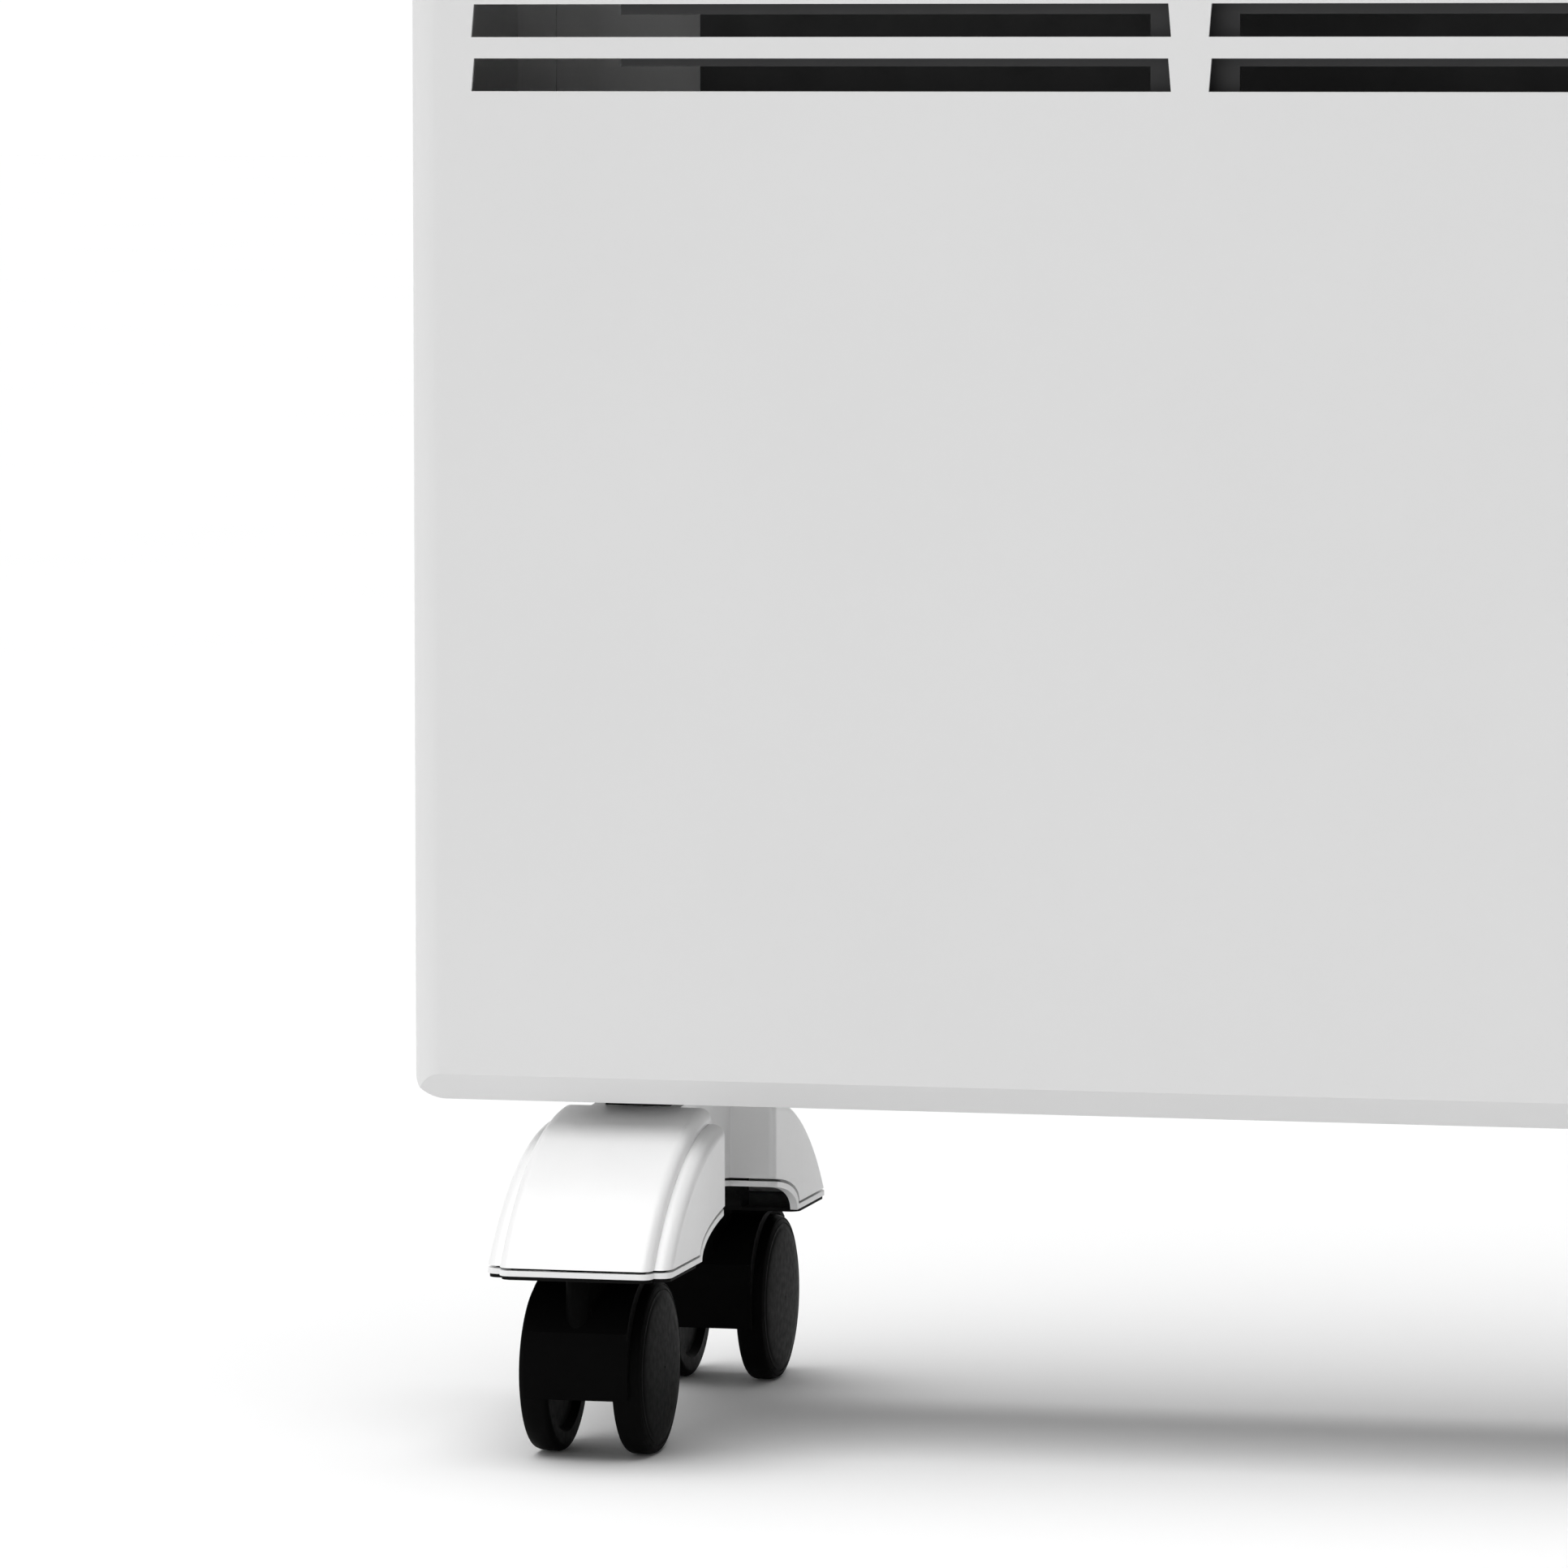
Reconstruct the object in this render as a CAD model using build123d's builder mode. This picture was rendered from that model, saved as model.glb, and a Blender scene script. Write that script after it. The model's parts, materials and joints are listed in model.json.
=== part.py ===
from build123d import *
import math
import os

# Electric panel convector heater on two arched feet with twin-wheel castors.
# Millimetres. +Z is up, the front faces -Y, and the origin is on the floor at the
# centre of the heater's outline. "Depth" below is measured from the middle of the
# sheet-metal body, front negative.

# Body shell
BODY_WIDTH = 830
BODY_HEIGHT = 400
BODY_DEPTH = 113
BODY_BOTTOM = 94
SHEET = 1.0
CORNER_RADIUS = 9.3
EDGE_RADIUS = 9
BEVEL_RISE = 7.2
BEVEL_DEPTH = 5
OPENING_RADIUS = 6

# Outlet slots in the front
SLOT_COLUMNS = 4
SLOT_ROWS = 6
SLOT_LENGTH = 190.7
SLOT_HEIGHT = 8.75
SLOT_TAPER = 0.75
COLUMN_GAP = 10.06
ROW_PITCH = 14.43
LOWEST_SLOT = 365.85
LOUVRE_PITCH = 13.8
LOUVRE_OPENING = 8.2
LOUVRE_HALF_WIDTH = 357

# Rear cover
COVER_SHEET = 0.8
FLANGE_WIDTH = 12
COVER_MARGIN = 1.5
COVER_SCREW_X = 300
COVER_SCREW_Z = 100
COVER_SCREW_HOLE = 1.6
COVER_SCREW_HEAD = 3.4
COVER_SCREW_HEAD_HEIGHT = 1.9
COVER_SCREW_LENGTH = 8
SCREW_GAP = 0.1
DISH_WIDTH = 780
DISH_HEIGHT = 350
DISH_DEPTH = 4
DISH_RADIUS = 8
WALL_HOLE_SPACING_X = 500
WALL_HOLE_SPACING_Z = 200
WALL_HOLE_RADIUS = 3.25

# Feet
FOOT_X = 359
FOOT_BASE = 54.4
FOOT_WALL = 2.2
BAND_EDGE = 3
BAND_WIDTH = 42
BAND_REACH = 94
BAND_SHOULDER = 90.5
BAND_RIDGE = 92.5
BAND_ARC_RADIUS = 87
CHEEK_WIDTH = 50.7
CHEEK_REACH = 90
CHEEK_SHOULDER = 86.5
CHEEK_ARC_RADIUS = 83
CHEEK_EDGE = 3.4
WAIST_EDGE = 2
SHOULDER_DEPTH = 25
WAIST_DEPTH = 28
WAIST_HALF_WIDTH = 12.5
ARCH_HALF_SPAN = 57
ARCH_RISE = 11.3
TRIM_GAP = 0.7
TRIM_HEIGHT = 1.5
PLATE_TOP = 52.2
PLATE_BOTTOM = 51.2
PLATE_MARGIN = 0.5
SPINE_HALF_WIDTH = 9
SPINE_ARCH_INSET = 2.2
SOCKET_BLOCK_WIDTH = 16
SOCKET_BLOCK_DEPTH = 15
PAD_HALF_WIDTH = 9
PAD_HALF_DEPTH = 26
PAD_BOTTOM = 70
PAD_GAP = 0.3
FOOT_SCREW_DEPTH = 18
FOOT_SCREW_HOLE = 2.6
FOOT_SCREW_SEAT = 73
FOOT_SCREW_HEAD = 4.6
FOOT_SCREW_HEAD_HEIGHT = 3
FOOT_SCREW_RADIUS = 2.45
COUNTERBORE_RADIUS = 5
NUT_HEIGHT = 4

# Castors
CASTOR_X = 362
KINGPIN_DEPTH = 69
TRAIL = 14
WHEEL_RADIUS = 23.4
WHEEL_INNER = 8.9
WHEEL_OUTER = 16.6
HUB_CAP_APEX = 18
HUB_CAP_RADIUS = 21
SEAM = 0.5
HOOD_HALF_WIDTH = 14.2
WEB_HALF_WIDTH = 8.5
HOOD_INNER_RADIUS = 24.3
HOOD_OUTER_RADIUS = 25.7
AXLE_RADIUS = 2.5
KINGPIN_RADIUS = 3
RUNNING_GAP = 0.05
SOCKET_RADIUS = 5.5
SOCKET_TOP = 68
SOCKET_BORE_DEPTH = 20
HOOD_TOP = 50.8
KINGPIN_SEAT = 18

# The hood's side outline, measured from the axle: front apron, crease, slope and top
APRON_FRONT = -26
APRON_BOTTOM = -5.8
CREASE = 12.3
HOOD_SLOPE_MIDDLE = (-17.6, 21.6)
HOOD_SLOPE_TOP = (-6, 24.99)
HOOD_REAR_TOP = (14.7, 21.08)
HOOD_REAR = 12
HOOD_REAR_HEIGHT = 17
BOSS_RISE = 8
RIB_RADIUS = 3.45
RIB_PROUD = 0.6

# Controls in the right side
PANEL_Z = 380
PANEL_HEIGHT = 156
PANEL_DEPTH = 56
PANEL_RECESS = 17
KNOB_Z = 425
KNOB_RADIUS = 18
SPINDLE_RADIUS = 3
KNOB_GAP = 0.6
KNOB_SKIRT = 5
KNOB_CROWN = 2.4
GRIP_WIDTH = 8
GRIP_HEIGHT = 8.5
SWITCH_Z = {"upper": 372, "lower": 340}
SWITCH_LENGTH = 26
SWITCH_WIDTH = 16
SWITCH_BACK = 379
BEZEL = 2
ROCKER_TILT = 10
ROCKER_PIN = 1.5
ROCKER_PIVOT_DEPTH = 4
ROCKER_HALF_LENGTH = 9.4
ROCKER_BASE = -4
ROCKER_TIP = 7.4
ROCKER_WAIST = 5.6
ROCKER_CLEARANCE = 4.6
LAMP_RADIUS = 3
LAMP_DEPTH = 0
LAMP_Z = 395
THERMOSTAT_WIDTH = 34
THERMOSTAT_HEIGHT = 30

# Heating element
ELEMENT_Z = 150
ELEMENT_HALF_LENGTH = 330
ELEMENT_BRACKET_X = 345
CORE_RADIUS = 6
STUD_RADIUS = 2
FIN_HUB_RADIUS = 9
FIN_REACH = 36
FIN_THICKNESS = 2
FIN_ANGLE = 60
RIB_PLACES = (16, 23, 30)
RIB_LENGTH = 9
RIB_THICKNESS = 1.4
INSULATOR_RADIUS = 13
INSULATOR_HALF_LENGTH = 6
INSULATOR_GROOVE = 2
BRACKET_SHEET = 1.5
BRACKET_TOP = 200
BRACKET_DEPTH = 66
BRACKET_FOOT = 16
CUTOUT_Z = 174
CUTOUT_RADIUS = 8
CUTOUT_THICKNESS = 6

# Cord gland in the rear cover
GLAND_X = 300
GLAND_Z = 140
GLAND_BORE = 3.6

# Sheets and fittings inside the body
INLET_WIDTH = 640
INLET_DEPTH = 76
GRILLE_LAP = 6
GRILLE_PITCH_X = 39
GRILLE_PITCH_Y = 20
GRILLE_SLOT = 33
GRILLE_SLOT_WIDTH = 10
LOUVRE_DEPTH = -48.6
LOUVRE_SIDE_MARGIN = 24
SHIELD_DEPTH = 38
SHIELD_BOTTOM = 104
SHIELD_TOP = 400
DEFLECTOR_TOP = 465
DEFLECTOR_RADIUS = 45
GLAND_BODY_RADIUS = 6.5
GLAND_FLANGE = 2.5
GLAND_INSIDE = 10
GLAND_OUTSIDE = 6
GLAND_NUT = 4
TERMINAL_X = 379
TERMINAL_DEPTH = 0
TERMINAL_LENGTH = 40
TERMINAL_WIDTH = 22
TERMINAL_HEIGHT = 18
TERMINAL_PITCH = 12
WIRE_RADIUS = 1.3
WIRE_BEND = 5
WIRE_INSET = 7
TIP_X = -385
TIP_PIVOT_Z = 126
TIP_PIN = 1.5
TIP_WIDTH = 20
TIP_LENGTH = 44
TIP_HEIGHT = 40
TIP_WALL = 2
PENDULUM_BOB = 5.5
PENDULUM_LENGTH = 19
PANEL_CORNER = 6
PANEL_RIM = 7
PANEL_WALL = 2

FRONT = -BODY_DEPTH / 2
REAR = BODY_DEPTH / 2
BODY_TOP = BODY_BOTTOM + BODY_HEIGHT
BODY_MID = BODY_BOTTOM + BODY_HEIGHT / 2
SIDE = BODY_WIDTH / 2
COLUMN_PITCH = SLOT_LENGTH + COLUMN_GAP
SLOTS_MID = LOWEST_SLOT + SLOT_HEIGHT / 2 + ROW_PITCH * (SLOT_ROWS - 1) / 2
AXLE_Z = WHEEL_RADIUS
REAR_REACH = KINGPIN_DEPTH + TRAIL + WHEEL_RADIUS
MID_Y = (BAND_REACH - REAR_REACH) / 2

os.makedirs("parts", exist_ok=True)


def front_plane(depth):
    """Upright plane facing the front: local x is width, local y is height."""
    return Plane(origin=(0, MID_Y + depth, 0), x_dir=(1, 0, 0), z_dir=(0, -1, 0))


def side_plane(x):
    """Upright plane facing +X: local x is depth, local y is height."""
    return Plane(origin=(x, MID_Y, 0), x_dir=(0, 1, 0), z_dir=(1, 0, 0))


def plan_plane(z):
    """Level plane: local x is width, local y is depth."""
    return Plane(origin=(0, MID_Y, z), x_dir=(1, 0, 0), z_dir=(0, 0, 1))


def save(builder, name):
    builder.part.label = name
    export_step(builder.part, f"parts/{name}.step")


# ---------------------------------------------------------------- body shell


def casing_block(inset, rear):
    """The body's outline, moved in by a sheet thickness: bevelled along the top and
    bottom of the front, rounded down its sides and at its four corners."""
    front = FRONT + inset
    bottom = BODY_BOTTOM + inset
    top = BODY_TOP - inset
    width = BODY_WIDTH - 2 * inset
    depth = rear - front
    with BuildPart() as block:
        with BuildSketch(front_plane(front)):
            with Locations((0, BODY_MID)):
                RectangleRounded(width, top - bottom, CORNER_RADIUS - inset)
        extrude(amount=-depth)
        with BuildSketch(side_plane(0)):
            Polygon(
                (front + BEVEL_DEPTH, bottom),
                (rear, bottom),
                (rear, top),
                (front + BEVEL_DEPTH, top),
                (front, top - BEVEL_RISE),
                (front, bottom + BEVEL_RISE),
                align=None,
            )
        extrude(amount=width, both=True, mode=Mode.INTERSECT)
        with BuildSketch(plan_plane(bottom)) as outline:
            with Locations((0, front + depth / 2)):
                Rectangle(width, depth)
            fillet(outline.vertices().group_by(Axis.Y)[0], EDGE_RADIUS - inset)
        extrude(amount=top - bottom, mode=Mode.INTERSECT)
    return block.part


casing_rear = REAR - COVER_SHEET
casing_outside = casing_block(0, casing_rear)
casing_inside = casing_block(SHEET, casing_rear - SHEET)
slot_end_angle = math.degrees(math.atan(SLOT_HEIGHT / SLOT_TAPER))
foot_screw_places = [
    (side * FOOT_X, depth)
    for side in (-1, 1)
    for depth in (-FOOT_SCREW_DEPTH, FOOT_SCREW_DEPTH)
]
flange_middle = FLANGE_WIDTH / 2 + SHEET
cover_screw_places = [
    (x, BODY_MID + side * (BODY_HEIGHT / 2 - flange_middle))
    for x in (-COVER_SCREW_X, 0, COVER_SCREW_X)
    for side in (-1, 1)
] + [
    (side * (SIDE - flange_middle), BODY_MID + z)
    for side in (-1, 1)
    for z in (-COVER_SCREW_Z, COVER_SCREW_Z)
]

with BuildPart() as front_casing:
    add(casing_outside)
    add(casing_inside, mode=Mode.SUBTRACT)
    # outlet slots, a little shorter along their top edges
    with BuildSketch(front_plane(FRONT - SHEET)):
        with Locations((0, SLOTS_MID)):
            with GridLocations(COLUMN_PITCH, ROW_PITCH, SLOT_COLUMNS, SLOT_ROWS):
                Trapezoid(SLOT_LENGTH, SLOT_HEIGHT, slot_end_angle)
    extrude(amount=-3 * SHEET, mode=Mode.SUBTRACT)
    # rear opening inside the screw flange, and the flange's screw holes
    with BuildSketch(front_plane(casing_rear + SHEET)):
        with Locations((0, BODY_MID)):
            RectangleRounded(
                BODY_WIDTH - 2 * FLANGE_WIDTH, BODY_HEIGHT - 2 * FLANGE_WIDTH, OPENING_RADIUS
            )
        with Locations(*cover_screw_places):
            Circle(COVER_SCREW_HOLE)
    extrude(amount=3 * SHEET, mode=Mode.SUBTRACT)
    # air inlet and foot screw holes in the underside
    with BuildSketch(plan_plane(BODY_BOTTOM - SHEET)):
        Rectangle(INLET_WIDTH, INLET_DEPTH)
        with Locations(*foot_screw_places):
            Circle(FOOT_SCREW_HOLE)
    extrude(amount=3 * SHEET, mode=Mode.SUBTRACT)
    # window for the controls in the right side
    with BuildSketch(side_plane(SIDE - 2 * SHEET)):
        with Locations((0, PANEL_Z)):
            RectangleRounded(PANEL_DEPTH, PANEL_HEIGHT, PANEL_CORNER)
    extrude(amount=4 * SHEET, mode=Mode.SUBTRACT)
save(front_casing, "front_casing")

with BuildPart() as rear_cover:
    # plate on the casing's rear flange, pressed inwards over its middle
    with BuildSketch(front_plane(REAR)):
        with Locations((0, BODY_MID)):
            RectangleRounded(
                BODY_WIDTH - 2 * COVER_MARGIN,
                BODY_HEIGHT - 2 * COVER_MARGIN,
                CORNER_RADIUS - COVER_MARGIN,
            )
    extrude(amount=COVER_SHEET)
    with BuildSketch(front_plane(REAR)):
        with Locations((0, BODY_MID)):
            RectangleRounded(DISH_WIDTH, DISH_HEIGHT, DISH_RADIUS)
    extrude(amount=DISH_DEPTH + COVER_SHEET)
    with BuildSketch(front_plane(REAR)):
        with Locations((0, BODY_MID)):
            RectangleRounded(
                DISH_WIDTH - 2 * COVER_SHEET,
                DISH_HEIGHT - 2 * COVER_SHEET,
                DISH_RADIUS - COVER_SHEET,
            )
    extrude(amount=DISH_DEPTH, mode=Mode.SUBTRACT)
    with BuildSketch(front_plane(REAR + SHEET)):
        with Locations(*cover_screw_places):
            Circle(COVER_SCREW_HOLE)
        with Locations((0, BODY_MID)):
            with GridLocations(WALL_HOLE_SPACING_X, WALL_HOLE_SPACING_Z, 2, 2):
                Circle(WALL_HOLE_RADIUS)
        with Locations((GLAND_X, GLAND_Z)):
            Circle(GLAND_BODY_RADIUS)
    extrude(amount=DISH_DEPTH + 3 * SHEET, mode=Mode.SUBTRACT)
save(rear_cover, "rear_cover")

with BuildPart() as cover_screws:
    with BuildSketch(front_plane(REAR)):
        with Locations(*cover_screw_places):
            Circle(COVER_SCREW_HOLE - SCREW_GAP)
    extrude(amount=COVER_SCREW_LENGTH)
    with BuildSketch(front_plane(REAR)):
        with Locations(*cover_screw_places):
            Circle(COVER_SCREW_HEAD)
    extrude(amount=-COVER_SCREW_HEAD_HEIGHT)
    head_rims = cover_screws.edges().filter_by(GeomType.CIRCLE).group_by(Axis.Y)[-1]
    fillet(head_rims, COVER_SCREW_HEAD / 3)
    # cross recess
    with BuildSketch(front_plane(REAR + COVER_SCREW_HEAD_HEIGHT)):
        with Locations(*cover_screw_places):
            Rectangle(COVER_SCREW_HEAD, COVER_SCREW_HEAD / 4)
            Rectangle(COVER_SCREW_HEAD / 4, COVER_SCREW_HEAD)
    extrude(amount=COVER_SCREW_HEAD_HEIGHT / 2, mode=Mode.SUBTRACT)
save(cover_screws, "cover_screws")

with BuildPart() as inlet_grille:
    with BuildSketch(plan_plane(BODY_BOTTOM + SHEET)):
        Rectangle(INLET_WIDTH + 2 * GRILLE_LAP, INLET_DEPTH + 2 * GRILLE_LAP)
        with GridLocations(GRILLE_PITCH_X, GRILLE_PITCH_Y, 16, 3):
            SlotOverall(GRILLE_SLOT, GRILLE_SLOT_WIDTH, mode=Mode.SUBTRACT)
    extrude(amount=COVER_SHEET)
save(inlet_grille, "inlet_grille")

# ------------------------------------------------- sheets inside the body

louvre_top = LOWEST_SLOT + ROW_PITCH * (SLOT_ROWS - 1) + SLOT_HEIGHT + 6
louvre_bottom = LOWEST_SLOT - 14
louvre_openings_mid = LOWEST_SLOT + 2.55 + LOUVRE_PITCH * (SLOT_ROWS - 1) / 2

with BuildPart() as outlet_louvre:
    # slotted sheet standing just behind the outlet, folded to the front at top and bottom
    with BuildSketch(side_plane(0)):
        with BuildLine():
            Polyline(
                (FRONT + SHEET, louvre_bottom),
                (LOUVRE_DEPTH, louvre_bottom),
                (LOUVRE_DEPTH, louvre_top),
                (FRONT + SHEET, louvre_top),
            )
        trace(line_width=COVER_SHEET)
        with Locations((FRONT, BODY_MID)):
            Rectangle(2 * SHEET, BODY_HEIGHT, mode=Mode.SUBTRACT)
    extrude(amount=LOUVRE_HALF_WIDTH, both=True)
    with BuildSketch(front_plane(LOUVRE_DEPTH - SHEET)):
        with Locations((0, louvre_openings_mid)):
            with GridLocations(COLUMN_PITCH, LOUVRE_PITCH, SLOT_COLUMNS, SLOT_ROWS):
                Rectangle(COLUMN_PITCH - LOUVRE_SIDE_MARGIN, LOUVRE_OPENING)
    extrude(amount=-3 * SHEET, mode=Mode.SUBTRACT)
save(outlet_louvre, "outlet_louvre")

with BuildPart() as heat_shield:
    # galvanised sheet between the element and the rear cover
    with BuildSketch(side_plane(0)):
        with BuildLine():
            Line((SHIELD_DEPTH, SHIELD_BOTTOM), (SHIELD_DEPTH, SHIELD_TOP))
        trace(line_width=COVER_SHEET)
    extrude(amount=LOUVRE_HALF_WIDTH, both=True)
save(heat_shield, "heat_shield")

with BuildPart() as air_deflector:
    # curved sheet that turns the rising air forwards to the outlet
    with BuildSketch(side_plane(0)):
        with BuildLine():
            bend_start = (SHIELD_DEPTH, DEFLECTOR_TOP - DEFLECTOR_RADIUS)
            bend_end = (SHIELD_DEPTH - DEFLECTOR_RADIUS, DEFLECTOR_TOP)
            Line((SHIELD_DEPTH, SHIELD_TOP + SHEET), bend_start)
            RadiusArc(bend_start, bend_end, -DEFLECTOR_RADIUS)
            Line(bend_end, (LOUVRE_DEPTH + 2 * SHEET, DEFLECTOR_TOP))
        trace(line_width=COVER_SHEET)
    extrude(amount=LOUVRE_HALF_WIDTH, both=True)
save(air_deflector, "air_deflector")

# ------------------------------------------------------- heating element

with BuildPart() as element_fins:
    # extruded aluminium cross around the core, with short ribs along each arm
    with BuildSketch(side_plane(0)):
        with Locations((0, ELEMENT_Z)):
            Circle(FIN_HUB_RADIUS)
            with PolarLocations(0, 4, start_angle=FIN_ANGLE):
                with Locations((FIN_REACH / 2, 0)):
                    Rectangle(FIN_REACH, FIN_THICKNESS)
            for reach in RIB_PLACES:
                with PolarLocations(reach, 4, start_angle=FIN_ANGLE):
                    Rectangle(RIB_THICKNESS, RIB_LENGTH)
            Circle(CORE_RADIUS, mode=Mode.SUBTRACT)
    extrude(amount=ELEMENT_HALF_LENGTH, both=True)
save(element_fins, "element_fins")

with BuildPart() as element_core:
    # steel-sheathed rod with a threaded terminal stud at each end
    with BuildSketch(side_plane(0)):
        with Locations((0, ELEMENT_Z)):
            Circle(CORE_RADIUS)
    extrude(amount=ELEMENT_BRACKET_X + 9, both=True)
    with BuildSketch(side_plane(0)):
        with Locations((0, ELEMENT_Z)):
            Circle(STUD_RADIUS)
    extrude(amount=ELEMENT_BRACKET_X + 22, both=True)
save(element_core, "element_core")

with BuildPart() as ceramic_insulators:
    for side in (-1, 1):
        with BuildSketch(side_plane(side * ELEMENT_BRACKET_X)):
            with Locations((0, ELEMENT_Z)):
                Circle(INSULATOR_RADIUS)
                Circle(CORE_RADIUS, mode=Mode.SUBTRACT)
        extrude(amount=INSULATOR_HALF_LENGTH, both=True)
        with BuildSketch(side_plane(side * ELEMENT_BRACKET_X)):
            with Locations((0, ELEMENT_Z)):
                Circle(INSULATOR_RADIUS)
                Circle(INSULATOR_RADIUS - INSULATOR_GROOVE, mode=Mode.SUBTRACT)
        extrude(amount=BRACKET_SHEET / 2, both=True, mode=Mode.SUBTRACT)
save(ceramic_insulators, "ceramic_insulators")

for side, name in ((-1, "left"), (1, "right")):
    bracket_x = side * ELEMENT_BRACKET_X
    with BuildPart() as element_bracket:
        # upright plate round the insulator's groove, its foot turned towards the middle
        with BuildSketch(side_plane(bracket_x)):
            with Locations((0, (BODY_BOTTOM + SHEET + BRACKET_TOP) / 2)):
                Rectangle(BRACKET_DEPTH, BRACKET_TOP - BODY_BOTTOM - SHEET)
            with Locations((0, ELEMENT_Z)):
                Circle(INSULATOR_RADIUS - INSULATOR_GROOVE, mode=Mode.SUBTRACT)
            with Locations((0, BRACKET_TOP - 14)):
                SlotOverall(40, 8, mode=Mode.SUBTRACT)
        extrude(amount=BRACKET_SHEET / 2, both=True)
        with BuildSketch(plan_plane(BODY_BOTTOM + SHEET)):
            with Locations((bracket_x - side * BRACKET_FOOT / 2, 0)):
                Rectangle(BRACKET_FOOT, BRACKET_DEPTH)
        extrude(amount=BRACKET_SHEET)
    save(element_bracket, f"element_bracket_{name}")

with BuildPart() as thermal_cutout:
    # disc thermostat on the right bracket, with its two tabs
    with BuildSketch(side_plane(ELEMENT_BRACKET_X + BRACKET_SHEET / 2)):
        with Locations((0, CUTOUT_Z)):
            Circle(CUTOUT_RADIUS)
    extrude(amount=CUTOUT_THICKNESS)
    with BuildSketch(side_plane(ELEMENT_BRACKET_X + BRACKET_SHEET / 2 + CUTOUT_THICKNESS)):
        with Locations((-CUTOUT_RADIUS / 2, CUTOUT_Z), (CUTOUT_RADIUS / 2, CUTOUT_Z)):
            Rectangle(0.8, 6)
    extrude(amount=7)
save(thermal_cutout, "thermal_cutout")

# ---------------------------------------------------------------- wiring

with BuildPart() as cord_gland:
    # flanged bush through the rear cover's dish, with its nut inside
    dish_floor = REAR - DISH_DEPTH
    with BuildSketch(front_plane(dish_floor)):
        with Locations((GLAND_X, GLAND_Z)):
            Circle(GLAND_BODY_RADIUS)
    extrude(amount=GLAND_INSIDE)
    with BuildSketch(front_plane(dish_floor)):
        with Locations((GLAND_X, GLAND_Z)):
            Circle(GLAND_BODY_RADIUS + GLAND_FLANGE)
    extrude(amount=-GLAND_OUTSIDE)
    chamfer(cord_gland.edges().group_by(Axis.Y)[-1], 1.5)
    with BuildSketch(front_plane(dish_floor - COVER_SHEET)):
        with Locations((GLAND_X, GLAND_Z)):
            RegularPolygon(GLAND_BODY_RADIUS + GLAND_FLANGE + SHEET, 6)
    extrude(amount=GLAND_NUT)
    with BuildSketch(front_plane(dish_floor + GLAND_OUTSIDE)):
        with Locations((GLAND_X, GLAND_Z)):
            Circle(GLAND_BORE)
    extrude(amount=GLAND_OUTSIDE + GLAND_INSIDE, mode=Mode.SUBTRACT)
save(cord_gland, "cord_gland")

with BuildPart() as terminal_block:
    with BuildSketch(plan_plane(BODY_BOTTOM + SHEET)):
        with Locations((TERMINAL_X, TERMINAL_DEPTH)):
            Rectangle(TERMINAL_WIDTH, TERMINAL_LENGTH)
    extrude(amount=TERMINAL_HEIGHT)
    with BuildSketch(plan_plane(BODY_BOTTOM + SHEET + TERMINAL_HEIGHT)):
        with Locations((TERMINAL_X, TERMINAL_DEPTH)):
            with GridLocations(TERMINAL_PITCH, TERMINAL_PITCH, 2, 3):
                Circle(TERMINAL_PITCH / 5)
    extrude(amount=-TERMINAL_HEIGHT / 2, mode=Mode.SUBTRACT)
save(terminal_block, "terminal_block")


def wire(points):
    """One insulated wire along straight runs joined by bends."""
    with BuildPart() as strand:
        with BuildLine() as path:
            FilletPolyline(*points, radius=WIRE_BEND)
        with BuildSketch(Plane(origin=path.line @ 0, z_dir=path.line % 0)):
            Circle(WIRE_RADIUS)
        sweep()
    return strand.part


block_top = BODY_BOTTOM + SHEET + TERMINAL_HEIGHT
wire_x = TERMINAL_X - WIRE_INSET
with BuildPart() as control_wires:
    # from the terminal block up to the switches and the thermostat
    for place, rise in ((-1, SWITCH_Z["lower"]), (0, SWITCH_Z["upper"]), (1, KNOB_Z)):
        y = MID_Y + TERMINAL_DEPTH + place * TERMINAL_PITCH
        add(wire(((wire_x, y, block_top), (wire_x, y, rise), (SWITCH_BACK, y, rise))))
save(control_wires, "control_wires")

# ------------------------------------------------ controls, right side

panel_outside = SIDE - SHEET
panel_floor = SIDE - PANEL_RECESS

with BuildPart() as control_panel:
    # plastic tray behind the window: rim, walls and floor with cut-outs
    with BuildSketch(side_plane(panel_outside)):
        with Locations((0, PANEL_Z)):
            RectangleRounded(
                PANEL_DEPTH + 2 * PANEL_RIM, PANEL_HEIGHT + 2 * PANEL_RIM, PANEL_CORNER + 4
            )
    extrude(amount=-PANEL_WALL)
    with BuildSketch(side_plane(panel_outside)):
        with Locations((0, PANEL_Z)):
            RectangleRounded(
                PANEL_DEPTH + 2 * PANEL_WALL,
                PANEL_HEIGHT + 2 * PANEL_WALL,
                PANEL_CORNER + PANEL_WALL,
            )
    extrude(amount=-(PANEL_RECESS - SHEET + PANEL_WALL))
    with BuildSketch(side_plane(panel_outside)):
        with Locations((0, PANEL_Z)):
            RectangleRounded(PANEL_DEPTH, PANEL_HEIGHT, PANEL_CORNER)
    extrude(amount=-(PANEL_RECESS - SHEET), mode=Mode.SUBTRACT)
    with BuildSketch(side_plane(panel_floor)):
        with Locations((0, KNOB_Z)):
            Circle(SPINDLE_RADIUS + 1)
        with Locations(*[(0, z) for z in SWITCH_Z.values()]):
            Rectangle(SWITCH_LENGTH, SWITCH_WIDTH)
        with Locations((LAMP_DEPTH, LAMP_Z)):
            Circle(LAMP_RADIUS)
    extrude(amount=-3, mode=Mode.SUBTRACT)
save(control_panel, "control_panel")

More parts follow.
